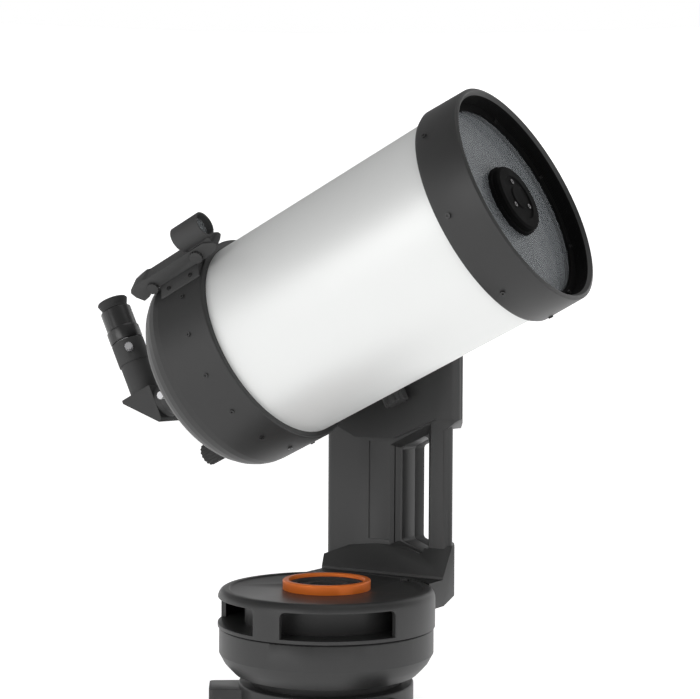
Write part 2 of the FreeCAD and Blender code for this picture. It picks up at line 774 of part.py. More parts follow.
def make_fork_arm():
    column = arm_body(arm_face, arm_outer, 0.0)
    plate = head_plate_body()
    body = joined([column, plate, foot_block(0.0, arm_outer)])
    body = body.cut(window_cutter(arm_face - 20.0, cover_outer + 1.0))
    body = body.cut(window_flare(9.0, arm_face))
    panel = block(panel_left, panel_right, arm_face - 5.0, arm_face + panel_depth,
                  foot_slope_top + 10.0, head_low_edge - 4.0)
    body = body.cut(panel.cut(plate))
    boss_low = Vector(0, arm_face + arm_wall, altitude_axis_height)
    boss = rod(axle_radius + bush_wall + 5.0, arm_wall, boss_low, Y)
    body = body.cut(arm_hollow(arm_face + arm_wall, arm_outer + 1.0).cut(boss))
    bore = rod(axle_radius + bush_wall, 60.0, Vector(0, head_face - 1.0, altitude_axis_height), Y)
    return body.cut(bore)


def head_plate_body():
    """The raised face of the arm's head, with its stepped lower border."""
    half = head_half_width
    profile = [
        (-half, head_low_left + 4.0), (-68.0, head_low_left), (-45.0, head_low_edge),
        (window_left - 2.0, head_low_edge), (window_right + 15.0, head_low_right - 1.0),
        (half, head_low_right), (half, altitude_axis_height), (-half, altitude_axis_height)]
    half_plate = arm_plan(half, half, head_face, 0.0, head_low_edge, altitude_axis_height + half)
    low = slab(profile, head_face, arm_face + arm_edge_radius)
    crown = rod(half, head_raise + arm_edge_radius, Vector(0, head_face, altitude_axis_height), Y)
    return joined([low, crown]).common(half_plate)


def arm_hollow(y0, y1):
    """The space inside the arm: the left of the column and the whole head."""
    reach = head_half_width + 1.0
    shell = arm_body(y0, y1, arm_wall)
    keep = joined([block(-arm_left, window_left - arm_wall, y0, y1, foot_slope_low, head_low_right + 15.0),
                   block(-reach, reach, y0, y1, head_low_right + arm_wall, altitude_axis_height + reach)])
    posts = [rod(cover_post_radius, y1 - y0, Vector(x, y0, z), Y) for x, z in cover_screw_places()]
    return shell.common(keep).cut(Part.makeCompound(posts))


def make_arm_cover():
    body = joined([arm_body(arm_outer, cover_outer, 0.0), foot_block(arm_outer, cover_outer)])
    body = body.cut(window_cutter(arm_face - 20.0, cover_outer + 1.0))
    body = body.cut(arm_hollow(arm_outer - 1.0, cover_outer - arm_wall))
    bore = rod(axle_radius + 1.5, 60.0, Vector(0, arm_outer - 1.0, altitude_axis_height), Y)
    return body.cut(bore)


def cover_screw_places():
    """Places of the cover screws seen along Y."""
    left = flank_inset + 8.0 - arm_left
    return [(left, foot_slope_low + 15.0), (left, head_low_edge + 38.0), (15.0, foot_slope_low + 4.0),
            (20.0, head_low_right), (-44.0, altitude_axis_height + 44.0), (44.0, altitude_axis_height + 44.0)]


def make_cover_screws():
    return [screw(3.4, arm_cover_depth, Vector(x, cover_outer, z), Y) for x, z in cover_screw_places()]


def make_altitude_bush():
    return pipe(axle_radius + bush_wall, axle_radius + running_fit, arm_wall + head_raise + 5.0,
                Vector(0, head_face, altitude_axis_height), Y)


def drive_to_arm(shape):
    """Carries a drive piece from the wheel's own frame to the altitude axis."""
    copy = spun(shape, 180.0, Y)
    copy = spun(copy, -90.0, X)
    return shifted(copy, y=altitude_wheel_place, z=altitude_axis_height)


def make_altitude_wheel():
    return drive_to_arm(worm_wheel(axle_radius))


def make_altitude_worm():
    return drive_to_arm(shifted(worm(worm_length + 24.0), y=worm_distance))


def make_altitude_block():
    reach = altitude_wheel_place - arm_face - arm_wall
    piece = spun(worm_block(worm_length + 24.0, reach), 180.0, Y)
    return drive_to_arm(shifted(piece, y=worm_distance))


def make_altitude_motor():
    start = worm_length / 2 + 13.0
    return drive_to_arm(shifted(gear_motor(motor_length), x=start, y=worm_distance))


def make_battery_pack():
    y0 = arm_face + arm_wall + 1.0
    cells = []
    for row in range(2):
        for column in range(3):
            cells.append(rod(9.2, 66.0, Vector(-64.0 + 20.0 * column, y0 + 10.0, 172.0 + 68.0 * row)))
    tray = block(-76.0, -12.0, y0, y0 + 3.0, 168.0, 310.0)
    return grouped([tray.cut(Part.makeCompound(cells))] + cells)


def make_control_board():
    y0 = arm_outer - 4.0
    board = block(-34.0, 34.0, y0, y0 + 1.6, altitude_axis_height + 26.0, altitude_axis_height + 52.0)
    chips = [block(-31.0 + 17.0 * i, -20.0 + 17.0 * i, y0 + 1.6, y0 + 4.4,
                   altitude_axis_height + 33.0, altitude_axis_height + 45.0) for i in range(4)]
    return joined([board] + chips)


# ---------------------------------------------------------------- altitude axis, saddle and clamp
def make_altitude_axle():
    low = saddle_back
    length = cover_outer + 4.0 - low
    shaft = rod(axle_radius, length, Vector(0, low, altitude_axis_height), Y)
    bore = rod(axle_bore, length + 2.0, Vector(0, low - 1.0, altitude_axis_height), Y)
    return shaft.cut(bore)


def make_altitude_knob():
    knob = clutch_knob(altitude_knob_radius, axle_bore - 1.0, altitude_knob_depth)
    stem = pipe(axle_bore - running_fit, axle_bore - 3.0, 14.0, Vector(0, 0, -14.0))
    knob = joined([knob, stem])
    return shifted(spun(knob, -90.0, X), y=cover_outer + 4.0 + slip_gap, z=altitude_axis_height)


def make_altitude_ring():
    outer = altitude_knob_radius + clutch_knob_gap + altitude_ring_width
    ring = pipe(outer, outer - altitude_ring_width, 10.0, Vector(0, cover_outer, altitude_axis_height), Y)
    return ring


def dovetail_section(half, y0, y1, spread):
    """The bar's section: wider at its face away from the tube."""
    return [(y0, -half + spread), (y1, -half), (y1, half), (y0, half - spread)]


def make_dovetail_bar():
    bar = cross_slab(dovetail_section(bar_half_width, bar_face, bar_back, dovetail_slope), bar_rear, bar_front)
    pads = []
    for start, end in ((bar_rear, bar_rear + 14.0), (bar_front - 10.0, bar_front)):
        pad = block(start, end, ring_radius - 6.0, bar_face + 1.0, -14.0, 14.0)
        pads.append(pad)
    bore = rod(ring_radius, bar_front - bar_rear + 2.0, Vector(bar_rear - 1.0, 0, 0), X)
    return on_tube(joined([bar] + [pad.cut(bore) for pad in pads]))


def make_saddle():
    outer = bar_half_width + jaw_width
    plate = block(-saddle_half_length, saddle_half_length, bar_back + slip_gap, saddle_back, -outer, outer)
    inner = bar_half_width + slip_gap
    upper = cross_slab([(bar_face, inner - dovetail_slope), (bar_back, inner), (saddle_back, inner),
                        (saddle_back, outer), (bar_face, outer)], -saddle_half_length, saddle_half_length)
    lower = block(-saddle_half_length, saddle_half_length, bar_face + 1.0, saddle_back,
                  -outer - 18.0, -outer + 0.5)
    centre = Vector(clamp_station, clamp_axis_place(), 0)
    hub = block(clamp_station - 11.0, clamp_station + 11.0, centre.y - 9.0, saddle_back, -outer - 24.0, -outer)
    screw_hole = rod(clamp_screw_radius + thread_fit, 60.0, Vector(clamp_station, centre.y, -outer - 40.0), Z)
    body = joined([plate, upper, lower, hub]).cut(screw_hole)
    slot = block(-saddle_half_length + 6.0, saddle_half_length - 6.0, bar_face - 3.0, saddle_back - 2.2,
                 -outer + 0.4, -bar_half_width + 2.4)
    return on_tube(body.cut(slot))


def clamp_axis_place():
    """Distance of the clamp screw's axis from the tube's axis along Y."""
    return head_face - slip_gap - clamp_knob_radius - 1.5


def make_clamp_jaw():
    outer = bar_half_width + jaw_width
    inner = bar_half_width + slip_gap
    jaw = cross_slab([(bar_face, dovetail_slope - inner), (bar_back, -inner),
                      (bar_back, -outer + 1.0), (bar_face, -outer + 1.0)],
                     -saddle_half_length + 8.0, saddle_half_length - 8.0)
    return on_tube(jaw)


def make_clamp_knob():
    outer = bar_half_width + jaw_width
    top = -outer - 24.0 - slip_gap
    base = Vector(clamp_station, clamp_axis_place(), top - clamp_knob_length)
    grip = fluted(clamp_knob_radius, clamp_knob_length, 9, 2.0, base, Z)
    shaft = rod(clamp_screw_radius, 0.6 - outer - base.z - 2.0, base + Z * 2.0)
    grip = rounded(grip, 1.5, lambda e: abs(e.BoundBox.ZMin - base.z) < 0.01 and e.BoundBox.ZLength < 0.01)
    return on_tube(joined([grip, shaft]))


# ---------------------------------------------------------------- optical tube
def make_optical_tube():
    return on_tube(pipe(tube_radius, tube_radius - tube_wall, tube_front - tube_rear + 2 * tube_insert,
                        Vector(tube_rear - tube_insert, 0, 0), X))


def make_front_ring():
    seat = corrector_station
    ring = turned([
        (tube_front, tube_radius), (tube_front, ring_radius), (front_ring_end, ring_radius),
        (front_ring_end, front_bore + 3.0), (front_ring_end - 4.0, front_bore), (seat, front_bore),
        (seat, aperture_radius + 1.0), (tube_front + tube_insert, aperture_radius + 4.0),
        (tube_front + tube_insert, tube_radius)])
    ring = rounded(ring, ring_shoulder, rim_at(tube_front, ring_radius))
    ring = rounded(ring, 2.0, rim_at(front_ring_end, ring_radius))
    return on_tube(ring)


def under_shoe(angle):
    """True where the finder shoe's foot covers the ring at an angle."""
    reach = math.degrees(math.asin(shoe_foot_half_width / ring_radius)) + 2.0
    return abs(angle - finder_angle) < reach


def ring_screws(count, station, phase, covered=lambda angle: False):
    """Small screws around a ring, heads just proud of its surface, left out where something covers them."""
    pieces = []
    for angle in [phase + 360.0 * i / count for i in range(count)]:
        if covered(angle):
            continue
        way = radial(angle)
        base = Vector(station, 0, 0) + way * (ring_radius - 0.8)
        pieces.append(screw(ring_screw_radius, 5.0, base, way))
    return [on_tube(piece) for piece in pieces]


def make_corrector():
    seat = Vector(corrector_station, 0, 0)
    return on_tube(pipe(front_bore - 1.0, secondary_hole_radius, corrector_thickness, seat, X))


def make_retaining_ring():
    start = corrector_station + corrector_thickness
    ring = pipe(front_bore, aperture_radius, retainer_thickness, Vector(start, 0, 0), X)
    middle = (front_bore + aperture_radius) / 2
    holes = []
    for i in range(retainer_screws):
        way = radial(360.0 * i / retainer_screws + 20.0)
        holes.append(rod(1.2, 5.0, Vector(start - 1.0, 0, 0) + way * middle, X))
    return on_tube(ring.cut(Part.makeCompound(holes)))


def make_retainer_screws():
    start = corrector_station + corrector_thickness
    middle = (front_bore + aperture_radius) / 2
    pieces = []
    for i in range(retainer_screws):
        way = radial(360.0 * i / retainer_screws + 20.0)
        pieces.append(on_tube(screw(2.2, 2.9, Vector(start + retainer_thickness, 0, 0) + way * middle, X)))
    return pieces


def make_secondary_housing():
    front = corrector_station + corrector_thickness
    flange_end = front + 4.0
    body = turned([
        (corrector_station - 12.0, secondary_mirror_radius + 0.5),
        (corrector_station - 12.0, secondary_hole_radius),
        (front, secondary_hole_radius), (front, secondary_flange_radius),
        (flange_end, secondary_flange_radius), (flange_end, secondary_mirror_radius - 4.0),
        (front - 2.0, secondary_mirror_radius - 4.0), (front - 2.0, secondary_mirror_radius + 0.5)])
    return on_tube(body)


def make_secondary_mirror():
    thickness = 9.0
    start = corrector_station + corrector_thickness - 2.0 - thickness
    return on_tube(rod(secondary_mirror_radius, thickness, Vector(start, 0, 0), X))


def make_secondary_cover():
    start = corrector_station + corrector_thickness + 4.0
    cap = turned([
        (start, 0), (start, secondary_flange_radius - 2.0),
        (secondary_front - 2.0, secondary_flange_radius - 2.0),
        (secondary_front, secondary_flange_radius - 4.0), (secondary_front, 24.0),
        (secondary_front - 1.5, 23.0), (secondary_front - 1.5, 12.0), (secondary_front - 0.2, 11.0),
        (secondary_front - 0.2, 0)])
    holes = [rod(3.0, 4.0, Vector(secondary_front - 2.5, 0, 0) + radial(120.0 * i + 90.0) * 17.5, X)
             for i in range(3)]
    return on_tube(cap.cut(Part.makeCompound(holes)))


def make_collimation_screws():
    pieces = []
    for i in range(3):
        base = Vector(secondary_front - 2.5, 0, 0) + radial(120.0 * i + 90.0) * 17.5
        pieces.append(on_tube(rod(2.6, 2.2, base, X).cut(rod(1.2, 2.0, base + X * 1.0, X))))
    return pieces


def make_secondary_baffle():
    end = corrector_station - 12.0
    body = turned([
        (end, secondary_hole_radius), (end, secondary_hole_radius + 1.5),
        (end - 52.0, secondary_hole_radius - 4.0),
        (end - 52.0, secondary_hole_radius - 5.5)])
    return on_tube(body)


def make_rear_cell():
    round_start = rear_cell_end + rear_cell_round
    back_radius = ring_radius - rear_cell_round
    arc = []
    for a in range(0, 91, 10):
        turn = math.radians(a)
        arc.append((round_start - rear_cell_round * math.sin(turn),
                    back_radius + rear_cell_round * math.cos(turn)))
    inner_radius = ring_radius - cell_wall
    inner_arc = []
    for a in range(90, -1, -15):
        turn = math.radians(a)
        inner_arc.append((round_start - (rear_cell_round - cell_wall) * math.sin(turn),
                          back_radius + (rear_cell_round - cell_wall) * math.cos(turn)))
    hole = baffle_radius
    profile = [(tube_rear, tube_radius), (tube_rear, ring_radius)] + arc
    profile += [(rear_cell_end, port_boss_radius + 6.0), (rear_cell_end - 5.0, port_boss_radius + 4.0),
                (port_end, port_boss_radius - 9.0), (port_end, hole),
                (rear_cell_end + cell_wall, hole)]
    profile += inner_arc
    profile += [(tube_rear - tube_insert - 2.0, inner_radius), (tube_rear - tube_insert, tube_radius)]
    cell = turned(profile)
    cell = rounded(cell, 2.0, rim_at(tube_rear, ring_radius))
    way = radial(focus_angle)
    boss_low = rear_cell_end - 3.0
    boss_at = Vector(boss_low, 0, 0) + way * focus_radius_from_axis
    boss = rod(focus_knob_radius + 2.0, cell_wall + 5.0, boss_at, X)
    bore = rod(focus_screw_radius + thread_fit, 30.0,
               Vector(boss_low - 5.0, 0, 0) + way * focus_radius_from_axis, X)
    return on_tube(joined([cell, boss]).cut(bore))


def make_focus_knob():
    way = radial(focus_angle)
    end = rear_cell_end - 3.0 - slip_gap
    base = Vector(end - focus_knob_length, 0, 0) + way * focus_radius_from_axis
    grip = fluted(focus_knob_radius, focus_knob_length, 16, 1.1, base, X)
    grip = rounded(grip, 1.2, lambda e: abs(e.BoundBox.XMin - base.x) < 0.01 and e.BoundBox.XLength < 0.01)
    reach = carrier_back() - 6.0 - base.x - 2.0
    shaft = rod(focus_screw_radius, reach, base + X * 2.0, X)
    return on_tube(joined([grip, shaft]))


def make_baffle_tube():
    start = port_end + 2.0
    return on_tube(pipe(baffle_radius, baffle_radius - baffle_wall, baffle_front - start,
                        Vector(start, 0, 0), X))


def carrier_back():
    """Station of the carrier plate's back."""
    return primary_station - primary_thickness - 4.0


def make_mirror_carrier():
    start = carrier_back()
    sleeve = pipe(primary_hole_radius - 0.2, baffle_radius + running_fit, 44.0, Vector(start - 8.0, 0, 0), X)
    plate = pipe(carrier_radius, baffle_radius + running_fit, 4.0, Vector(start, 0, 0), X)
    nut_base = Vector(start - focus_nut_length, 0, 0) + radial(focus_angle) * focus_radius_from_axis
    nut = rod(focus_nut_radius, focus_nut_length + 1.0, nut_base, X)
    hole = rod(focus_screw_radius + thread_fit, focus_nut_length + 1.0, nut_base - X, X)
    return on_tube(joined([sleeve, plate, nut]).cut(hole))


def make_primary_mirror():
    start = primary_station - primary_thickness
    curve = 812.0
    sag_edge = curve - math.sqrt(curve ** 2 - primary_radius ** 2)
    front = primary_station
    body = pipe(primary_radius, primary_hole_radius, primary_thickness + sag_edge, Vector(start, 0, 0), X)
    bowl = Part.makeSphere(curve, Vector(front + curve, 0, 0))
    return on_tube(body.cut(bowl))


# ---------------------------------------------------------------- visual back, diagonal and eyepiece
def make_visual_back():
    ring_end = port_end - visual_back_ring
    ring = turned([
        (port_end, barrel_radius + running_fit), (port_end, visual_back_radius),
        (ring_end + 1.0, visual_back_radius), (ring_end, visual_back_radius - 1.0),
        (ring_end, barrel_radius + 5.0), (visual_back_end, barrel_radius + 4.0),
        (visual_back_end, barrel_radius + running_fit)])
    hole_at = Vector((ring_end + visual_back_end) / 2 - 3.0, 0, 0)
    return on_tube(ring.cut(rod(2.0 + thread_fit, 30.0, hole_at, radial(180.0))))


def thumbscrew(tip, way):
    """A knurled thumbscrew whose tip is at a point and whose head stands out along a direction."""
    side = 6.0
    shank = rod(2.0, side, tip, way)
    head = fluted(thumbscrew_radius, thumbscrew_length, 12, 0.6, tip + way * side, way)
    return joined([shank, head])


def make_visual_back_screw():
    ring_end = port_end - visual_back_ring
    place = (ring_end + visual_back_end) / 2 - 3.0
    tip = Vector(place, 0, 0) + radial(180.0) * (barrel_radius + slip_gap)
    return on_tube(thumbscrew(tip, radial(180.0)))


def leaned(shape):
    """Turns a diagonal piece about the optical axis to its rest lean."""
    return on_tube(spun(shape, diagonal_turn, X))


def make_diagonal_body():
    s, h = diagonal_station, diagonal_half
    chamfer = 4.0
    profile = [
        (s + h, h), (s + h, -h - 2.0 + chamfer), (s + h - chamfer, -h - 2.0),
        (s - h - 1.0, h - chamfer), (s - h - 1.0, h)]
    body = slab(profile, -diagonal_width, diagonal_width)
    body = rounded(body, 1.5, lambda e: e.BoundBox.YLength > 5.0)
    nose_end = s + h + diagonal_gap + visual_back_length + 6.0
    collar = rod(barrel_radius + 3.0, diagonal_gap - slip_gap, Vector(s + h, 0, 0), X)
    nose = rod(barrel_radius, nose_end - s - h, Vector(s + h, 0, 0), X)
    socket = rod(diagonal_socket_radius, diagonal_socket_length, Vector(s, 0, h), Z)
    holder = rod(holder_radius, holder_length, Vector(s, 0, h + diagonal_socket_length), Z)
    holder = rounded(holder, 1.0, rim_at(socket_top, holder_radius, "z"))
    body = joined([body, collar, nose, socket, holder])
    bore = rod(barrel_radius - 2.0, nose_end - s + 2.0, Vector(s + 6.0, 0, 0), X)
    well_low = Vector(s, 0, socket_top - eyepiece_insert)
    well = rod(barrel_radius + running_fit, eyepiece_insert + 2.0, well_low, Z)
    shaft = rod(barrel_radius - 2.5, socket_top, Vector(s, 0, 0), Z)
    screw_at = Vector(s, 0, socket_top - holder_length / 2)
    screw_hole = rod(2.0 + thread_fit, 30.0, screw_at, diagonal_screw_way())
    return leaned(body.cut(bore).cut(well).cut(shaft).cut(screw_hole).cut(diagonal_plate()))


def diagonal_plate():
    """The flat mirror across the corner of the diagonal, before the lean."""
    s = diagonal_station
    plate = block(s - 15.0, s + 15.0, -13.0, 13.0, -4.0, -1.5)
    return spun(plate, 45.0, Y, Vector(s, 0, 0))


def make_diagonal_mirror():
    return leaned(diagonal_plate())


def diagonal_screw_way():
    """The direction in which the eyepiece's thumbscrew stands out of its holder, before the lean."""
    turn = math.radians(diagonal_screw_turn)
    return Vector(math.sin(turn), -math.cos(turn), 0)


def make_diagonal_screw():
    way = diagonal_screw_way()
    tip = Vector(diagonal_station, 0, socket_top - holder_length / 2) + way * (barrel_radius + slip_gap)
    return leaned(thumbscrew(tip, way))


def eyepiece_profile():
    """Heights of the eyepiece along its own axis, from the diagonal's optical centre."""
    seat = socket_top
    shoulder = seat + eyepiece_reveal
    body_end = shoulder + eyepiece_body_length
    return seat, shoulder, body_end


def eyepiece_turned(profile):
    """A profile of (radius, height) pairs turned about the eyepiece's axis."""
    return leaned(shifted(lathed(profile), x=diagonal_station))


def make_eyepiece_barrel():
    seat, shoulder, _ = eyepiece_profile()
    outer, inner = barrel_radius, barrel_radius - 2.0
    low = seat - eyepiece_insert + 1.0
    return eyepiece_turned([(inner, low), (outer, low), (outer, shoulder), (inner, shoulder)])


def make_eyepiece_body():
    _, shoulder, end = eyepiece_profile()
    r = eyepiece_body_radius
    neck = eyecup_radius + 0.2
    ring = shoulder + eyepiece_ring_length
    return eyepiece_turned([
        (barrel_radius - 2.0, shoulder), (r - 1.0, shoulder), (r, shoulder + 1.0), (r, ring),
        (neck, ring + 1.5), (neck, end - 1.5), (neck - 1.5, end), (11.0, end), (11.0, end - 8.0),
        (barrel_radius - 2.0, end - 12.0)])


def make_eyecup():
    _, _, end = eyepiece_profile()
    r = eyecup_radius
    return eyepiece_turned([
        (11.5, end), (r - 2.0, end), (r - 2.6, end + 3.0), (r, end + eyecup_length - 1.5),
        (r - 0.8, end + eyecup_length), (r - 2.2, end + eyecup_length - 1.0), (12.5, end + 3.0),
        (11.5, end + 2.0)])


def eye_lens():
    _, _, end = eyepiece_profile()
    return eyepiece_turned([(0, end - 7.0), (10.9, end - 7.0), (10.9, end - 4.0), (7.0, end - 2.6),
                            (0, end - 2.0)])


def field_lens():
    _, shoulder, _ = eyepiece_profile()
    rim = barrel_radius - 2.1
    return eyepiece_turned([(0, shoulder + 6.0), (rim, shoulder + 6.0), (rim, shoulder + 10.0),
                            (7.0, shoulder + 12.0), (0, shoulder + 12.6)])


# ---------------------------------------------------------------- sight finder
def on_finder(shape):
    """Carries a finder piece, drawn above the tube's top line, to its rest angle around the tube."""
    return on_tube(spun(shape, finder_angle - 90.0, X))


def finder_low():
    """Height of the finder's underside above the tube's axis: it slides just over the shoe."""
    return ring_radius + shoe_height + slip_gap


def hood_centre():
    return finder_low() + rail_height + hood_radius - hood_sink


def make_finder_shoe():
    top = ring_radius + shoe_height
    half = shoe_length / 2
    body = cross_slab([(-shoe_foot_half_width, ring_radius * 0.9), (shoe_foot_half_width, ring_radius * 0.9),
                       (shoe_foot_half_width, ring_radius - 0.8), (shoe_half_width, top),
                       (-shoe_half_width, top), (-shoe_foot_half_width, ring_radius - 0.8)],
                      finder_station - half, finder_station + half)
    channel = cross_slab([(-8.6, ring_radius + 2.0), (8.6, ring_radius + 2.0),
                          (6.6, top + 1.0), (-6.6, top + 1.0)],
                         finder_station - half - 1.0, finder_station + half + 1.0)
    cell = rod(ring_radius, shoe_length + 4.0, Vector(finder_station - half - 2.0, 0, 0), X)
    return on_finder(body.cut(channel).cut(cell))


def make_finder_body():
    low = finder_low()
    top = low + rail_height
    rear, front = finder_rail_rear, finder_rail_front
    under = ring_radius + 2.4
    foot = cross_slab([(-8.2, under), (8.2, under), (6.2, low + 1.0), (-6.2, low + 1.0)],
                      finder_station - finder_foot_length / 2, finder_station + finder_foot_length / 2)
    rail = slab([
        (rear, low + 11.0), (rear + 1.0, low + 4.0), (rear + 6.0, low - 4.5), (rear + 14.0, low - 3.5),
        (rear + 23.0, low), (front - 22.0, low), (front - 5.0, low + 1.5), (front, low + 6.0),
        (front - 1.0, top - 6.0), (front - 12.0, top), (rear + 26.0, top), (rear + 22.0, top + 1.5),
        (rear + 12.0, top + 0.5), (rear + 3.0, top - 1.0)],
        -finder_rail_half_width, finder_rail_half_width)
    rail = rounded(rail, 1.5, lambda e: e.BoundBox.YLength > 5.0)
    centre = hood_centre()
    hood = pipe(hood_radius, hood_radius - hood_wall, hood_length,
                Vector(hood_station - hood_length / 2, 0, centre), X)
    post = block(hood_station - hood_length * 0.4, hood_station + hood_length * 0.4, -7.5, 7.5,
                 top - 9.0, centre)
    clear = rod(hood_radius - hood_wall, hood_length + 2.0,
                Vector(hood_station - hood_length / 2 - 1.0, 0, centre), X)
    body = joined([joined([foot, rail, post]).cut(clear), hood])
    knob_bore = rod(3.0 + thread_fit, 40.0, Vector(finder_knob_station, -finder_rail_half_width - 1.0,
                                                  low + finder_knob_height), Y)
    return on_finder(body.cut(knob_bore))


def make_finder_window():
    disc = rod(hood_radius - hood_wall, 1.6, Vector(hood_station + 9.0, 0, hood_centre()), X)
    return on_finder(disc)


def make_finder_knob():
    at = Vector(finder_knob_station, -finder_rail_half_width - slip_gap, finder_low() + finder_knob_height)
    head = fluted(finder_knob_radius, 3.0, 14, 0.5, at, -Y)
    shaft = rod(3.0, finder_rail_half_width + 8.0, at + Y * (finder_rail_half_width + 7.0), -Y)
    return on_finder(joined([head, shaft]))


def make_finder_switch():
    height = finder_low() + finder_switch_height
    at = Vector(finder_switch_station, -finder_rail_half_width - slip_gap, height)
    return on_finder(fluted(finder_switch_radius, 3.0, 12, 0.5, at, -Y))


def make_finder_clamp_screws():
    """Four screws that hold the shoe's foot down on the cell."""
    slope = shoe_height + 0.8
    share = (shoe_foot_half_width - shoe_screw_side) / (shoe_foot_half_width - shoe_half_width)
    surface = ring_radius - 0.8 + slope * share
    pieces = []
    for offset in (-shoe_screw_offset, shoe_screw_offset):
        for side in (-shoe_screw_side, shoe_screw_side):
            way = Vector(0, side, surface).normalize()
            base = Vector(finder_station + offset, side, surface) - way * 0.3
            pieces.append(on_finder(screw(2.4, 2.6, base, way)))
    return pieces


# ---------------------------------------------------------------- every node
def stand_nodes():
    nodes["tripod_head"] = make_tripod_head()
    nodes["mount_bolts"] = make_mount_bolts()
    nodes["centre_pin"] = make_centre_pin()
    nodes["drive_base"] = make_drive_base()
    nodes["azimuth_spindle"] = make_azimuth_spindle()
    lower, upper, balls = make_bearing()
    nodes["bearing_lower_race"] = lower
    nodes["bearing_upper_race"] = upper
    nodes["bearing_balls"] = balls
    nodes["azimuth_wheel"] = make_azimuth_wheel()
    nodes["azimuth_clutch_knob"] = make_azimuth_clutch_knob()


def turntable_nodes():
    nodes["turntable_shell"] = make_turntable_shell()
    nodes["turntable_floor"] = make_turntable_floor()
    nodes["clutch_rings"] = grouped([make_azimuth_ring(), make_altitude_ring()])
    nodes["azimuth_worm"] = make_azimuth_worm()
    nodes["worm_blocks"] = grouped([make_azimuth_block(), make_altitude_block()])
    nodes["drive_motors"] = grouped([make_azimuth_motor(), make_altitude_motor()])
    nodes["axis_bushes"] = grouped([make_azimuth_bush(), make_altitude_bush()])
    nodes["power_button"] = make_power_button()
    nodes["port_panel"] = make_port_panel()
    nodes["fork_arm"] = make_fork_arm()
    nodes["arm_cover"] = make_arm_cover()
    nodes["mount_screws"] = grouped(make_floor_screws() + make_cover_screws())
    nodes["battery_pack"] = make_battery_pack()
    nodes["control_board"] = make_control_board()
    nodes["altitude_worm"] = make_altitude_worm()


def altitude_nodes():
    nodes["altitude_axle"] = make_altitude_axle()
    nodes["altitude_wheel"] = make_altitude_wheel()
    nodes["altitude_clutch_knob"] = make_altitude_knob()
    nodes["saddle"] = make_saddle()
    nodes["clamp_jaw"] = make_clamp_jaw()
    nodes["clamp_knob"] = make_clamp_knob()


def tube_nodes():
    nodes["dovetail_bar"] = make_dovetail_bar()
    nodes["optical_tube"] = make_optical_tube()
    nodes["front_ring"] = make_front_ring()
    nodes["rear_cell"] = make_rear_cell()
    front = ring_screws(front_screw_count, front_screw_station, front_screw_phase)
    rear = ring_screws(rear_screw_count, rear_screw_station, rear_screw_phase, under_shoe)
    small = make_retainer_screws() + make_collimation_screws() + make_finder_clamp_screws()
    nodes["tube_screws"] = grouped(front + rear + small)
    nodes["corrector_plate"] = make_corrector()
    nodes["retaining_ring"] = make_retaining_ring()
    nodes["secondary_housing"] = make_secondary_housing()
    nodes["secondary_mirror"] = make_secondary_mirror()
    nodes["secondary_cover"] = make_secondary_cover()
    nodes["secondary_baffle"] = make_secondary_baffle()
    nodes["baffle_tube"] = make_baffle_tube()
    nodes["mirror_carrier"] = make_mirror_carrier()
    nodes["primary_mirror"] = make_primary_mirror()
    nodes["focus_knob"] = make_focus_knob()


def eyepiece_nodes():
    nodes["visual_back"] = make_visual_back()
    nodes["visual_back_screw"] = make_visual_back_screw()
    nodes["diagonal_body"] = make_diagonal_body()
    nodes["diagonal_mirror"] = make_diagonal_mirror()
    nodes["diagonal_screw"] = make_diagonal_screw()
    nodes["eyepiece_barrel"] = make_eyepiece_barrel()
    nodes["eyepiece_body"] = make_eyepiece_body()
    nodes["eyepiece_lenses"] = grouped([eye_lens(), field_lens()])
    nodes["eyecup"] = make_eyecup()


def finder_nodes():
    nodes["finder_shoe"] = make_finder_shoe()
    nodes["finder_body"] = make_finder_body()
    nodes["finder_window"] = make_finder_window()
    nodes["finder_knob"] = make_finder_knob()
    nodes["finder_switch"] = make_finder_switch()


stand_nodes()
turntable_nodes()
altitude_nodes()
tube_nodes()
eyepiece_nodes()
finder_nodes()
os.makedirs("parts", exist_ok=True)
for name, shape in nodes.items():
    print("%-22s solids %2d valid %s volume %.0f" % (name, len(shape.Solids), shape.isValid(), shape.Volume))
    shape.exportStep("parts/%s.step" % name)
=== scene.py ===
"""A Schmidt-Cassegrain telescope on a single-arm mount: finishes for the fixed frame, and the pieces shown for its nodes."""

import json
import math

import bmesh
import bpy
from bpy.props import FloatProperty, FloatVectorProperty, IntProperty, PointerProperty
from mathutils import Matrix, Vector

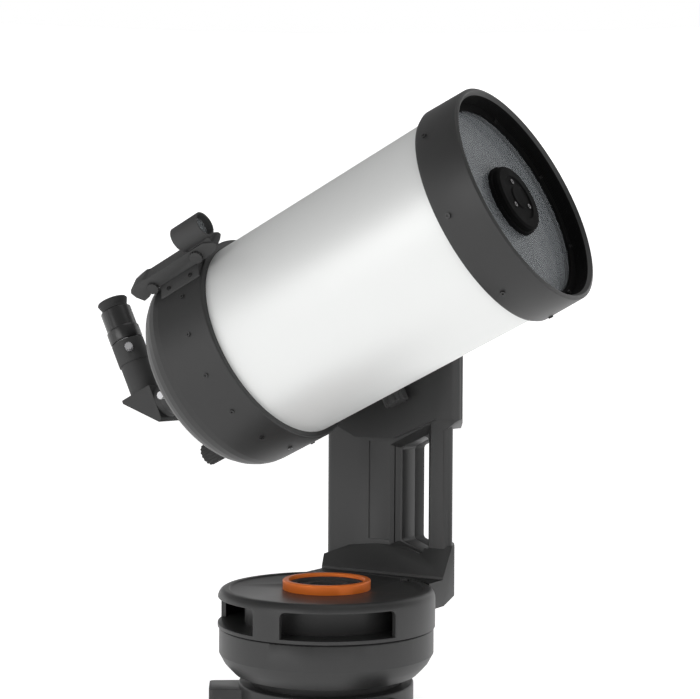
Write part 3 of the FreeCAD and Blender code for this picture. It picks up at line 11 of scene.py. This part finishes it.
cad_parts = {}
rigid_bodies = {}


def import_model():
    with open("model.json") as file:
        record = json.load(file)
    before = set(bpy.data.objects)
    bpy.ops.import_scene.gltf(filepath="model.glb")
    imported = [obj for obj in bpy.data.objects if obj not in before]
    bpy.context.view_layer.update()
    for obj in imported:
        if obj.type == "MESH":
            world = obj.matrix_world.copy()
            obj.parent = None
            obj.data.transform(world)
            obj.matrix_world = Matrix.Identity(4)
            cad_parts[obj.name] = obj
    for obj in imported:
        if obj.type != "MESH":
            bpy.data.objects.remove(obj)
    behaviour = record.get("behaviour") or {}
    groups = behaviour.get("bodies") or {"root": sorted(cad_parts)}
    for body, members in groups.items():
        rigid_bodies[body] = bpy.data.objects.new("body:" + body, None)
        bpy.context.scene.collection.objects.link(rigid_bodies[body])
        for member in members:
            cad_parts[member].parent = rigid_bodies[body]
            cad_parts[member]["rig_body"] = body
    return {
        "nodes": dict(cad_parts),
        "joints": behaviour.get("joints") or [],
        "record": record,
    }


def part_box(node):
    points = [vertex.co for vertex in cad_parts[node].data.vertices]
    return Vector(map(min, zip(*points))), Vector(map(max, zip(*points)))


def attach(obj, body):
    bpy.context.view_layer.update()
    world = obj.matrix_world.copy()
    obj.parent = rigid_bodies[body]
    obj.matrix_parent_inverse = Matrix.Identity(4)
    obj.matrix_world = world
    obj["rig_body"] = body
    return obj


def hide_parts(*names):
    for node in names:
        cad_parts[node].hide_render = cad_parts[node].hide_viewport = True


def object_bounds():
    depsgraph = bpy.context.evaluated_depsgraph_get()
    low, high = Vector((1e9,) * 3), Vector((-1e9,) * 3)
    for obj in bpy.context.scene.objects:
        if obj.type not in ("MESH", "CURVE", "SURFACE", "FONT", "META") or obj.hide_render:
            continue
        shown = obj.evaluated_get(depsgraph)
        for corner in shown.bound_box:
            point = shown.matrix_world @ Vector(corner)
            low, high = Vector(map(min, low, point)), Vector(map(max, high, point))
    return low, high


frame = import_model()
CAD_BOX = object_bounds()

bl_info = {
    "name": "Single-Arm Telescope",
    "version": (1, 0, 0),
    "blender": (4, 5, 0),
    "location": "3D View > Sidebar > Telescope",
    "description": "Dresses a packed telescope frame with finished pieces and materials",
    "category": "Object",
}

MM = 0.001
JOINTS = {joint["name"]: joint for joint in frame["joints"]}
SLOT_OF = {part["node"]: part["material_slot"] for part in frame["record"]["subparts"]}
FORWARD = Vector(JOINTS["tube_slide"]["axis"])
TILT = math.atan2(FORWARD.z, FORWARD.x)
ALTITUDE_AXIS = Vector((0.0, 0.0, JOINTS["altitude_tilt"]["pos_m"][2]))
# Every turned piece is drawn along +X and then carried to its place.
ON_TUBE = Matrix.Translation(ALTITUDE_AXIS) @ Matrix.Rotation(-TILT, 4, "Y")
UPRIGHT = Matrix.Rotation(math.radians(-90.0), 4, "Y")


# ---------------------------------------------------------------- measuring the frame
def tube_span(node):
    """Lowest and highest station of a node along the tube, and its largest radius, in metres."""
    back = ON_TUBE.inverted()
    places = [back @ vertex.co for vertex in frame["nodes"][node].data.vertices]
    stations = [place.x for place in places]
    return min(stations), max(stations), max(math.hypot(place.y, place.z) for place in places)


def round_span(node):
    """Lowest and highest level of a node about the azimuth axis, and its largest radius, in metres."""
    low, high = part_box(node)
    reach = max(math.hypot(vertex.co.x, vertex.co.y) for vertex in frame["nodes"][node].data.vertices)
    return low.z, high.z, reach


# ---------------------------------------------------------------- finishes
class Finish:
    """One procedural finish, read in Object coordinates and built up step by step."""

    def __init__(self, name, **sockets):
        self.material = bpy.data.materials.new(name)
        self.material.use_nodes = True
        self.nodes = self.material.node_tree.nodes
        self.links = self.material.node_tree.links
        self.shader = self.nodes["Principled BSDF"]
        for socket, value in sockets.items():
            self.shader.inputs[socket.replace("_", " ")].default_value = value
        self.coords = self.nodes.new("ShaderNodeTexCoord").outputs["Object"]
        self.normal = None

    def noise(self, scale, detail=3.0, stretch=(1.0, 1.0, 1.0), turn=0.0):
        mapping = self.nodes.new("ShaderNodeMapping")
        mapping.inputs["Scale"].default_value = stretch
        mapping.inputs["Rotation"].default_value = (0.0, turn, 0.0)
        texture = self.nodes.new("ShaderNodeTexNoise")
        texture.inputs["Scale"].default_value = scale
        texture.inputs["Detail"].default_value = detail
        self.links.new(self.coords, mapping.inputs["Vector"])
        self.links.new(mapping.outputs["Vector"], texture.inputs["Vector"])
        return texture.outputs["Fac"]

    def grains(self, scale):
        texture = self.nodes.new("ShaderNodeTexVoronoi")
        texture.inputs["Scale"].default_value = scale
        self.links.new(self.coords, texture.inputs["Vector"])
        return texture.outputs["Distance"]

    def edges(self):
        """How sharply the surface turns outwards, for wear along edges."""
        return self.nodes.new("ShaderNodeNewGeometry").outputs["Pointiness"]

    def ranged(self, value, low, high, start=0.3, end=0.7):
        step = self.nodes.new("ShaderNodeMapRange")
        step.inputs["From Min"].default_value = start
        step.inputs["From Max"].default_value = end
        step.inputs["To Min"].default_value = low
        step.inputs["To Max"].default_value = high
        self.links.new(value, step.inputs["Value"])
        return step.outputs["Result"]

    def colours(self, value, first, second, start=0.3, end=0.7):
        ramp = self.nodes.new("ShaderNodeValToRGB")
        ramp.color_ramp.elements[0].position = start
        ramp.color_ramp.elements[0].color = (*first, 1.0)
        ramp.color_ramp.elements[1].position = end
        ramp.color_ramp.elements[1].color = (*second, 1.0)
        self.links.new(value, ramp.inputs["Fac"])
        self.links.new(ramp.outputs["Color"], self.shader.inputs["Base Color"])
        return self

    def roughness(self, value, low, high, start=0.3, end=0.7):
        self.links.new(self.ranged(value, low, high, start, end), self.shader.inputs["Roughness"])
        return self

    def bump(self, value, depth, strength=1.0):
        step = self.nodes.new("ShaderNodeBump")
        step.inputs["Strength"].default_value = strength
        step.inputs["Distance"].default_value = depth
        self.links.new(value, step.inputs["Height"])
        if self.normal:
            self.links.new(self.normal, step.inputs["Normal"])
        self.normal = step.outputs["Normal"]
        self.links.new(self.normal, self.shader.inputs["Normal"])
        return self


def shade(colour, factor):
    return tuple(channel * factor for channel in colour)


def black_finish(name, colour, low, high, grain, depth, worn=1.4):
    """A black finish with a fine grain, faint cloudiness and slightly paler edges."""
    finish = Finish(name, Specular_IOR_Level=0.12)
    finish.colours(finish.edges(), colour, shade(colour, worn), 0.5, 0.62)
    finish.roughness(finish.noise(60.0, 4.0), low, high)
    finish.bump(finish.noise(grain, 2.0), depth)
    return finish.material


def metal_finish(name, colour, low, high, stretch, turn=0.0, depth=0.00002):
    """A bare metal with tool marks drawn out along one direction."""
    finish = Finish(name, Metallic=1.0)
    marks = finish.noise(900.0, 3.0, stretch, turn)
    finish.colours(finish.noise(90.0, 4.0), shade(colour, 0.9), colour)
    finish.roughness(marks, low, high)
    finish.bump(marks, depth, 0.5)
    return finish.material


def silver_enamel(settings):
    """The tube's satin enamel: a metallic base under a clear coat, with faint flow and dust."""
    colour = tuple(settings.tube_colour)
    finish = Finish("tube_silver", Metallic=0.25, Coat_Weight=0.35, Coat_Roughness=0.22)
    finish.colours(finish.noise(14.0, 5.0), shade(colour, 0.975), colour)
    finish.roughness(finish.noise(45.0, 5.0), settings.tube_gloss, settings.tube_gloss + 0.07)
    finish.bump(finish.noise(260.0, 2.0), 0.00001, 0.4)
    return finish.material


def orange_anodised(settings):
    colour = tuple(settings.ring_colour)
    finish = Finish("orange_ring", Metallic=0.3, Coat_Weight=0.25, Coat_Roughness=0.2)
    finish.colours(finish.edges(), colour, tuple(min(1.0, c * 1.25 + 0.03) for c in colour), 0.5, 0.6)
    finish.roughness(finish.noise(400.0, 3.0, (1.0, 1.0, 14.0)), 0.28, 0.42)
    finish.bump(finish.noise(700.0, 2.0, (1.0, 1.0, 20.0)), 0.00002, 0.5)
    return finish.material


# Painted shade: the corrector is tinted dark grey-green, about 0.3 per pass, so the open end of the tube reads
# black. This tint stands in for the unlit inside of the tube; the real corrector is nearly clear.
def coated_glass():
    finish = Finish("coated_glass", IOR=1.12, Transmission_Weight=1.0, Roughness=0.0)
    finish.colours(finish.noise(8.0, 3.0), (0.30, 0.34, 0.33), (0.33, 0.37, 0.36))
    return finish.material


def mirror_coat():
    finish = Finish("first_surface_mirror", Metallic=1.0)
    finish.colours(finish.noise(20.0, 3.0), (0.90, 0.91, 0.92), (0.94, 0.95, 0.96))
    finish.roughness(finish.noise(60.0, 4.0), 0.02, 0.05)
    return finish.material


def speckled(name, first, second, scale, low, high, depth):
    """A moulded or coated finish with a two-tone speckle."""
    finish = Finish(name)
    finish.colours(finish.noise(scale, 4.0), first, second)
    finish.roughness(finish.noise(scale * 0.4, 3.0), low, high)
    finish.bump(finish.grains(scale * 2.0), depth, 0.5)
    return finish.material


def make_finishes(settings):
    """A finish for every material slot of the record, and for the extra pieces."""
    black = tuple(settings.casting_colour)
    turned = (1.0, 12.0, 12.0)
    made = {
        "head_paint": black_finish("head_paint", black, 0.40, 0.55, 900.0, 0.00006),
        "casting_paint": black_finish("casting_paint", black, 0.36, 0.48, 1500.0, 0.00004),
        "ring_paint": black_finish("ring_paint", shade(black, 0.95), 0.34, 0.44, 1900.0, 0.00002),
        "cover_plastic": black_finish("cover_plastic", shade(black, 0.9), 0.42, 0.54, 1100.0, 0.00006),
        "grip_plastic": black_finish("grip_plastic", shade(black, 0.8), 0.40, 0.52, 1300.0, 0.00005),
        "knob_rubber": black_finish("knob_rubber", shade(black, 0.7), 0.62, 0.78, 700.0, 0.00008, 1.9),
        "eyepiece_black": black_finish("eyepiece_black", shade(black, 0.65), 0.24, 0.34, 2200.0, 0.00001),
        "inner_black": black_finish("inner_black", shade(black, 0.35), 0.8, 0.92, 1200.0, 0.00005, 1.1),
        "tube_silver": silver_enamel(settings),
        "orange_ring": orange_anodised(settings),
        "coated_glass": coated_glass(),
        "first_surface_mirror": mirror_coat(),
        "turned_steel": metal_finish("turned_steel", (0.62, 0.61, 0.59), 0.25, 0.40, turned),
        "bright_chrome": metal_finish("bright_chrome", (0.80, 0.80, 0.81), 0.06, 0.14, turned, -TILT),
        "gear_brass": metal_finish("gear_brass", (0.78, 0.56, 0.25), 0.24, 0.40, (1.0, 1.0, 8.0)),
        "bush_brass": metal_finish("bush_brass", (0.62, 0.42, 0.22), 0.34, 0.50, (1.0, 1.0, 8.0)),
        "plain_aluminium": metal_finish("plain_aluminium", (0.72, 0.73, 0.74), 0.28, 0.44, (10.0, 1.0, 1.0)),
        "cell_sleeve": speckled("cell_sleeve", (0.02, 0.06, 0.20), (0.03, 0.08, 0.26), 300.0, 0.2, 0.35, 0.00002),
        "board_green": speckled("board_green", (0.01, 0.10, 0.04), (0.015, 0.14, 0.06), 500.0, 0.3, 0.45, 0.00004),
        "stripe_dark": speckled("stripe_dark", (0.03, 0.03, 0.035), (0.045, 0.045, 0.05), 250.0, 0.3, 0.4, 0.00001),
        "stripe_orange": speckled("stripe_orange", (0.80, 0.30, 0.05), (0.88, 0.36, 0.07), 250.0, 0.3, 0.4, 0.00001),
    }
    return made


def finish(name):
    """The finish of that name, made by the finishes operator."""
    return bpy.data.materials[name]


# ---------------------------------------------------------------- shaping helpers
def eased(corners, steps=6):
    """A closed outline of (along, radius, easing) corners, each easing a round of that radius."""
    points = []
    for index, (along, radius, ease) in enumerate(corners):
        here = Vector((along, radius))
        if not ease:
            points.append(here)
            continue
        before = (Vector(corners[index - 1][:2]) - here).normalized()
        after = (Vector(corners[(index + 1) % len(corners)][:2]) - here).normalized()
        half = before.angle(after) / 2.0
        centre = here + (before + after).normalized() * (ease / math.sin(half))
        start = here + before * (ease / math.tan(half)) - centre
        end = here + after * (ease / math.tan(half)) - centre
        points += [centre + start.slerp(end, step / steps) for step in range(steps + 1)]
    return points


def lathe(bm, corners, segments=160, scale=MM):
    """Spins a closed outline about the X axis into the mesh, and closes it at the axis."""
    points = eased(corners)
    verts = [bm.verts.new((point.x * scale, max(point.y, 0.0) * scale, 0.0)) for point in points]
    edges = [bm.edges.new((verts[i - 1], verts[i])) for i in range(len(verts))
             if verts[i - 1].co.y > 1e-7 or verts[i].co.y > 1e-7]
    bmesh.ops.spin(bm, geom=verts + edges, cent=(0, 0, 0), axis=(1, 0, 0), angle=math.tau,
                   steps=segments, use_merge=True, use_duplicate=False)
    bmesh.ops.remove_doubles(bm, verts=bm.verts, dist=1e-7)


def add_bolt(bm, place, radius, height, socket, sides=24):
    """A low socket-head screw along +X of the place, with an eased rim and a round socket."""
    before = set(bm.verts)
    bmesh.ops.create_circle(bm, cap_ends=True, segments=sides, radius=radius * MM)
    face = next(face for face in bm.faces if not set(face.verts) & before and len(face.verts) == sides)
    raised = bmesh.ops.extrude_face_region(bm, geom=[face])
    top = [item for item in raised["geom"] if isinstance(item, bmesh.types.BMVert)]
    bmesh.ops.translate(bm, verts=top, vec=(0, 0, height * MM))
    cap = next(item for item in raised["geom"] if isinstance(item, bmesh.types.BMFace))
    bmesh.ops.inset_region(bm, faces=[cap], thickness=radius * 0.12 * MM, depth=radius * 0.1 * MM)
    bmesh.ops.inset_region(bm, faces=[cap], thickness=(radius * 0.85 - socket) * MM, depth=0.0)
    bmesh.ops.inset_region(bm, faces=[cap], thickness=radius * 0.02 * MM, depth=-height * 0.7 * MM)
    fresh = [vert for vert in bm.verts if vert not in before]
    turned = Matrix.Rotation(math.radians(90.0), 4, "Y")
    bmesh.ops.transform(bm, matrix=place @ turned, verts=fresh)


def to_object(bm, name, material, body, hides=(), sharp=32.0):
    """Makes a riding piece of the mesh, smooth except across sharp edges."""
    bmesh.ops.recalc_face_normals(bm, faces=bm.faces)
    mesh = bpy.data.meshes.new(name)
    bm.to_mesh(mesh)
    bm.free()
    mesh.materials.append(material)
    mesh.shade_smooth()
    mesh.set_sharp_from_angle(angle=math.radians(sharp))
    piece = bpy.data.objects.new(name, mesh)
    bpy.context.scene.collection.objects.link(piece)
    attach(piece, body)
    if hides:
        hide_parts(*hides)
    return piece


def stand_in(bm, name, node, place=None, material=None, sharp=32.0):
    """Makes the mesh the piece that is shown for a CAD node."""
    if place:
        bmesh.ops.transform(bm, matrix=place, verts=bm.verts)
    slot = SLOT_OF[node]
    body = frame["nodes"][node]["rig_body"]
    return to_object(bm, name, material or finish(slot), body, [node], sharp)


def eased_copy(name, node, width, corner=28.0, sharp=28.0):
    """A copy of a CAD node, its flat faces whole and its sharp edges eased."""
    bm = bmesh.new()
    bm.from_mesh(frame["nodes"][node].data)
    bmesh.ops.remove_doubles(bm, verts=bm.verts, dist=2e-6)
    bmesh.ops.dissolve_limit(bm, angle_limit=math.radians(0.5), verts=bm.verts, edges=bm.edges)
    bmesh.ops.recalc_face_normals(bm, faces=bm.faces)
    mesh_edges = [edge for edge in bm.edges
                  if len(edge.link_faces) == 2 and edge.calc_face_angle(0.0) > math.radians(corner)]
    bmesh.ops.bevel(bm, geom=mesh_edges, offset=width * MM, offset_type="OFFSET", segments=2,
                    profile=0.5, affect="EDGES", material=-1, clamp_overlap=True)
    return stand_in(bm, name, node, sharp=sharp)


# ---------------------------------------------------------------- settings
class TelescopeSettings(bpy.types.PropertyGroup):
    tube_colour: FloatVectorProperty(name="Tube", description="Colour of the tube's enamel", subtype="COLOR",
                                     size=3, min=0.0, max=1.0, default=(0.66, 0.665, 0.65))
    tube_gloss: FloatProperty(name="Tube Roughness", description="Lowest roughness of the tube's enamel",
                              min=0.05, max=0.9, default=0.33)
    casting_colour: FloatVectorProperty(name="Castings", description="Colour of the black castings and rings",
                                        subtype="COLOR", size=3, min=0.0, max=1.0, default=(0.006, 0.006, 0.0063))
    ring_colour: FloatVectorProperty(name="Clutch Rings", description="Colour of the two clutch rings",
                                     subtype="COLOR", size=3, min=0.0, max=1.0, default=(0.80, 0.20, 0.025))
    stripe_length: FloatProperty(name="Stripe Length", description="Length of the dark stripe on the tube",
                                 unit="LENGTH", min=0.0, max=0.2, default=0.085)
    rounding: IntProperty(name="Segments", description="Faces around each large turned piece",
                          min=24, max=360, default=192)


class StageSettings(bpy.types.PropertyGroup):
    floor_colour: FloatVectorProperty(name="Floor", description="Colour of the floor and backdrop", subtype="COLOR",
                                      size=3, min=0.0, max=1.0, default=(0.88, 0.88, 0.88))
    lens: FloatProperty(name="Lens", description="Focal length of the camera in millimetres", min=10.0, max=300.0,
                        default=80.11)


# How far each moulded or cast node's sharp edges are eased, in millimetres.
EASED = {
    "tripod_head": 0.8, "drive_base": 0.8, "turntable_shell": 0.8, "fork_arm": 1.2, "arm_cover": 1.0,
    "saddle": 0.8, "clamp_jaw": 0.6, "clamp_knob": 0.4, "clutch_rings": 0.6, "port_panel": 0.3,
    "diagonal_body": 0.7, "visual_back": 0.4, "finder_shoe": 0.3, "finder_body": 0.5, "finder_knob": 0.3,
    "focus_knob": 0.4, "azimuth_clutch_knob": 0.5, "altitude_clutch_knob": 0.5, "eyepiece_body": 0.3,
}


# ---------------------------------------------------------------- operators
class TELESCOPE_OT_finishes(bpy.types.Operator):
    """Makes every finish and puts the record's finishes on the CAD nodes"""
    bl_idname = "telescope.finishes"
    bl_label = "Finishes"

    def execute(self, context):
        make_finishes(context.scene.telescope)
        for node, piece in frame["nodes"].items():
            for slot in piece.material_slots:
                slot.material = finish(SLOT_OF[node])
        for node in ("baffle_tube", "secondary_baffle", "secondary_cover", "secondary_housing", "retaining_ring"):
            for slot in frame["nodes"][node].material_slots:
                slot.material = finish("inner_black")
        for slot in frame["nodes"]["tube_screws"].material_slots:
            slot.material = finish("eyepiece_black")
        return {"FINISHED"}


class TELESCOPE_OT_tube(bpy.types.Operator):
    """Turns the optical tube with rolled ends"""
    bl_idname = "telescope.tube"
    bl_label = "Optical Tube"

    def execute(self, context):
        rear, front, radius = (value / MM for value in tube_span("optical_tube"))
        wall = 1.6
        bm = bmesh.new()
        lathe(bm, [(rear, radius, 0.3), (front, radius, 0.3), (front, radius - wall, 0.3),
                   (rear, radius - wall, 0.3)], context.scene.telescope.rounding)
        shown = stand_in(bm, "optical_tube_shown", "optical_tube", ON_TUBE)
        shown.data.materials.append(finish("inner_black"))
        back = ON_TUBE.inverted()
        for face in shown.data.polygons:
            place = back @ face.center
            if math.hypot(place.y, place.z) < (radius - wall * 0.7) * MM:
                face.material_index = 1
        return {"FINISHED"}


class TELESCOPE_OT_front_ring(bpy.types.Operator):
    """Turns the front ring with its eased rim, the step for the corrector and the grooved dark mouth"""
    bl_idname = "telescope.front_ring"
    bl_label = "Front Ring"

    def execute(self, context):
        inner_end, mouth, radius = (value / MM for value in tube_span("front_ring"))
        glass = tube_span("corrector_plate")[0] / MM
        bore = tube_span("retaining_ring")[2] / MM
        tube = tube_span("optical_tube")[2] / MM
        deep = tube_span("optical_tube")[1] / MM
        corners = [(inner_end, tube + 0.05, 0.0), (inner_end, radius, 2.8), (inner_end + 6.0, radius, 0.0),
                   (mouth, radius, 2.4), (mouth, bore + 3.0, 1.2), (mouth - 4.0, bore + 0.1, 1.0)]
        groove = mouth - 6.0
        while groove > glass + 9.0:
            corners += [(groove, bore + 0.1, 0.0), (groove - 0.5, bore + 0.6, 0.0), (groove - 1.0, bore + 0.1, 0.0)]
            groove -= 1.6
        corners += [(glass, bore + 0.1, 0.0), (glass, bore - 7.0, 0.5), (deep, bore - 4.0, 0.0), (deep, tube, 0.0)]
        bm = bmesh.new()
        lathe(bm, corners, context.scene.telescope.rounding)
        shown = stand_in(bm, "front_ring_shown", "front_ring", ON_TUBE)
        shown.data.materials.append(finish("inner_black"))
        back = ON_TUBE.inverted()
        for face in shown.data.polygons:
            place = back @ face.center
            if math.hypot(place.y, place.z) < (bore + 1.2) * MM:
                face.material_index = 1
        return {"FINISHED"}


class TELESCOPE_OT_mark(bpy.types.Operator):
    """Lays a plain orange block and a plain dark stripe on the side of the tube"""
    bl_idname = "telescope.mark"
    bl_label = "Tube Stripe"

    def execute(self, context):
        radius = tube_span("optical_tube")[2] / MM
        start = 64.0
        length = context.scene.telescope.stripe_length / MM
        self.lay("tube_block", 48.0, 62.0, 14.0, radius, "stripe_orange")
        self.lay("tube_stripe", start, start + length, 10.0, radius, "stripe_dark")
        return {"FINISHED"}

    def lay(self, name, start, end, height, radius, colour):
        proud = 0.15
        bm = bmesh.new()
        bmesh.ops.create_grid(bm, x_segments=6, y_segments=12, size=0.5)
        for vert in bm.verts:
            angle = math.pi + vert.co.y * height / radius
            place = Vector((start + (vert.co.x + 0.5) * (end - start), math.cos(angle) * (radius + proud),
                            math.sin(angle) * (radius + proud)))
            vert.co = place * MM
        bmesh.ops.solidify(bm, geom=bm.faces, thickness=proud * MM)
        bmesh.ops.transform(bm, matrix=ON_TUBE, verts=bm.verts)
        to_object(bm, name, finish(colour), "tube")


class TELESCOPE_OT_castings(bpy.types.Operator):
    """Eases the sharp edges of the castings, mouldings and knobs"""
    bl_idname = "telescope.castings"
    bl_label = "Castings and Mouldings"

    def execute(self, context):
        for node, width in EASED.items():
            eased_copy(node + "_eased", node, width)
        return {"FINISHED"}


class TELESCOPE_OT_stage(bpy.types.Operator):
    """Lays the floor with its swept backdrop, and sets the lights and the camera"""
    bl_idname = "telescope.stage"
    bl_label = "Stage"

    def execute(self, context):
        settings = context.scene.telescope_stage
        self.lay_floor(settings)
        self.hang_lights(context)
        self.set_camera(context, settings)
        return {"FINISHED"}

    def lay_floor(self, settings):
        colour = tuple(settings.floor_colour)
        ground = Finish("floor_paper")
        ground.colours(ground.noise(3.0, 4.0), shade(colour, 0.985), colour)
        ground.roughness(ground.noise(20.0, 4.0), 0.75, 0.9)
        ground.shader.inputs["Emission Color"].default_value = (1.0, 1.0, 1.0, 1.0)
        ground.shader.inputs["Emission Strength"].default_value = 0.75
        level = CAD_BOX[0][2] - 0.0002
        bm = bmesh.new()
        bmesh.ops.create_circle(bm, cap_ends=True, cap_tris=False, segments=96, radius=9.0)
        rim = [edge for edge in bm.edges if edge.is_boundary]
        for step in range(1, 13):
            turn = math.radians(90.0 * step / 12)
            grown = bmesh.ops.extrude_edge_only(bm, edges=rim)
            rim = [item for item in grown["geom"] if isinstance(item, bmesh.types.BMEdge)]
            verts = [item for item in grown["geom"] if isinstance(item, bmesh.types.BMVert)]
            reach = 9.0 + 3.0 * math.sin(turn)
            for vert in verts:
                flat = Vector((vert.co.x, vert.co.y, 0.0)).normalized() * reach
                vert.co = (flat.x, flat.y, 3.0 * (1.0 - math.cos(turn)))
        bmesh.ops.translate(bm, verts=bm.verts, vec=(0, 0, level))
        mesh = bpy.data.meshes.new("floor")
        bm.to_mesh(mesh)
        bm.free()
        mesh.materials.append(ground.material)
        mesh.shade_smooth()
        floor = bpy.data.objects.new("floor", mesh)
        bpy.context.scene.collection.objects.link(floor)

    def hang_lights(self, context):
        world = bpy.data.worlds.new("studio")
        world.use_nodes = True
        tree = world.node_tree
        room = tree.nodes["Background"]
        room.inputs["Color"].default_value = (1.0, 1.0, 1.0, 1.0)
        room.inputs["Strength"].default_value = 0.28
        backdrop = tree.nodes.new("ShaderNodeBackground")
        backdrop.inputs["Color"].default_value = (1.0, 1.0, 1.0, 1.0)
        chooser = tree.nodes.new("ShaderNodeMixShader")
        ray = tree.nodes.new("ShaderNodeLightPath")
        tree.links.new(ray.outputs["Is Camera Ray"], chooser.inputs["Fac"])
        tree.links.new(room.outputs["Background"], chooser.inputs[1])
        tree.links.new(backdrop.outputs["Background"], chooser.inputs[2])
        tree.links.new(chooser.outputs["Shader"], tree.nodes["World Output"].inputs["Surface"])
        context.scene.world = world
        target = Vector((0.0, 0.0, 0.35))
        lamps = (("key", (-0.6, -2.9, 0.9), 1.8, 15.0), ("fill", (2.2, -1.6, 1.0), 1.4, 3.5),
                 ("top", (0.2, 0.3, 2.6), 2.2, 7.0), ("back", (0.6, 2.6, 1.6), 2.0, 8.0))
        for name, place, size, power in lamps:
            lamp = bpy.data.lights.new(name, "AREA")
            lamp.shape = "RECTANGLE"
            lamp.size = size
            lamp.size_y = size * 0.7
            lamp.energy = power
            holder = bpy.data.objects.new(name, lamp)
            holder.location = place
            holder.rotation_euler = (target - Vector(place)).to_track_quat("-Z", "Y").to_euler()
            context.scene.collection.objects.link(holder)
        context.scene.view_settings.view_transform = "Standard"

    def set_camera(self, context, settings):
        yaw, pitch, roll = math.radians(-31.223), math.radians(-0.62), math.radians(0.324)
        ahead = Vector((math.sin(yaw) * math.cos(pitch), math.cos(yaw) * math.cos(pitch), math.sin(pitch)))
        level_right = Vector((math.cos(yaw), -math.sin(yaw), 0.0))
        level_up = level_right.cross(ahead)
        right = level_right * math.cos(roll) + level_up * math.sin(roll)
        up = level_up * math.cos(roll) - level_right * math.sin(roll)
        camera = bpy.data.cameras.new("camera")
        camera.sensor_width = 36.0
        camera.lens = settings.lens
        camera.clip_start = 0.05
        camera.clip_end = 60.0
        holder = bpy.data.objects.new("camera", camera)
        turned = Matrix((right, up, -ahead)).transposed().to_4x4()
        holder.matrix_world = Matrix.Translation((0.86992, -1.39045, 0.39974)) @ turned
        context.scene.collection.objects.link(holder)
        context.scene.camera = holder


class TELESCOPE_PT_panel(bpy.types.Panel):
    """Lists the telescope's pieces in the 3D view's sidebar"""
    bl_idname = "TELESCOPE_PT_panel"
    bl_label = "Telescope"
    bl_space_type = "VIEW_3D"
    bl_region_type = "UI"
    bl_category = "Telescope"

    def draw(self, context):
        for settings in (context.scene.telescope, context.scene.telescope_stage):
            for name in settings.__annotations__:
                self.layout.prop(settings, name)
        for operator in PIECES:
            self.layout.operator(operator.bl_idname)


PIECES = (
    TELESCOPE_OT_finishes,
    TELESCOPE_OT_tube,
    TELESCOPE_OT_front_ring,
    TELESCOPE_OT_mark,
    TELESCOPE_OT_castings,
    TELESCOPE_OT_stage,
)
CLASSES = (TelescopeSettings, StageSettings, *PIECES, TELESCOPE_PT_panel)


def register():
    for item in CLASSES:
        bpy.utils.register_class(item)
    bpy.types.Scene.telescope = PointerProperty(type=TelescopeSettings)
    bpy.types.Scene.telescope_stage = PointerProperty(type=StageSettings)


def unregister():
    del bpy.types.Scene.telescope_stage
    del bpy.types.Scene.telescope
    for item in reversed(CLASSES):
        bpy.utils.unregister_class(item)


def main():
    register()
    for operator in PIECES:
        group, name = operator.bl_idname.split(".")
        getattr(getattr(bpy.ops, group), name)()


if __name__ == "__main__":
    main()
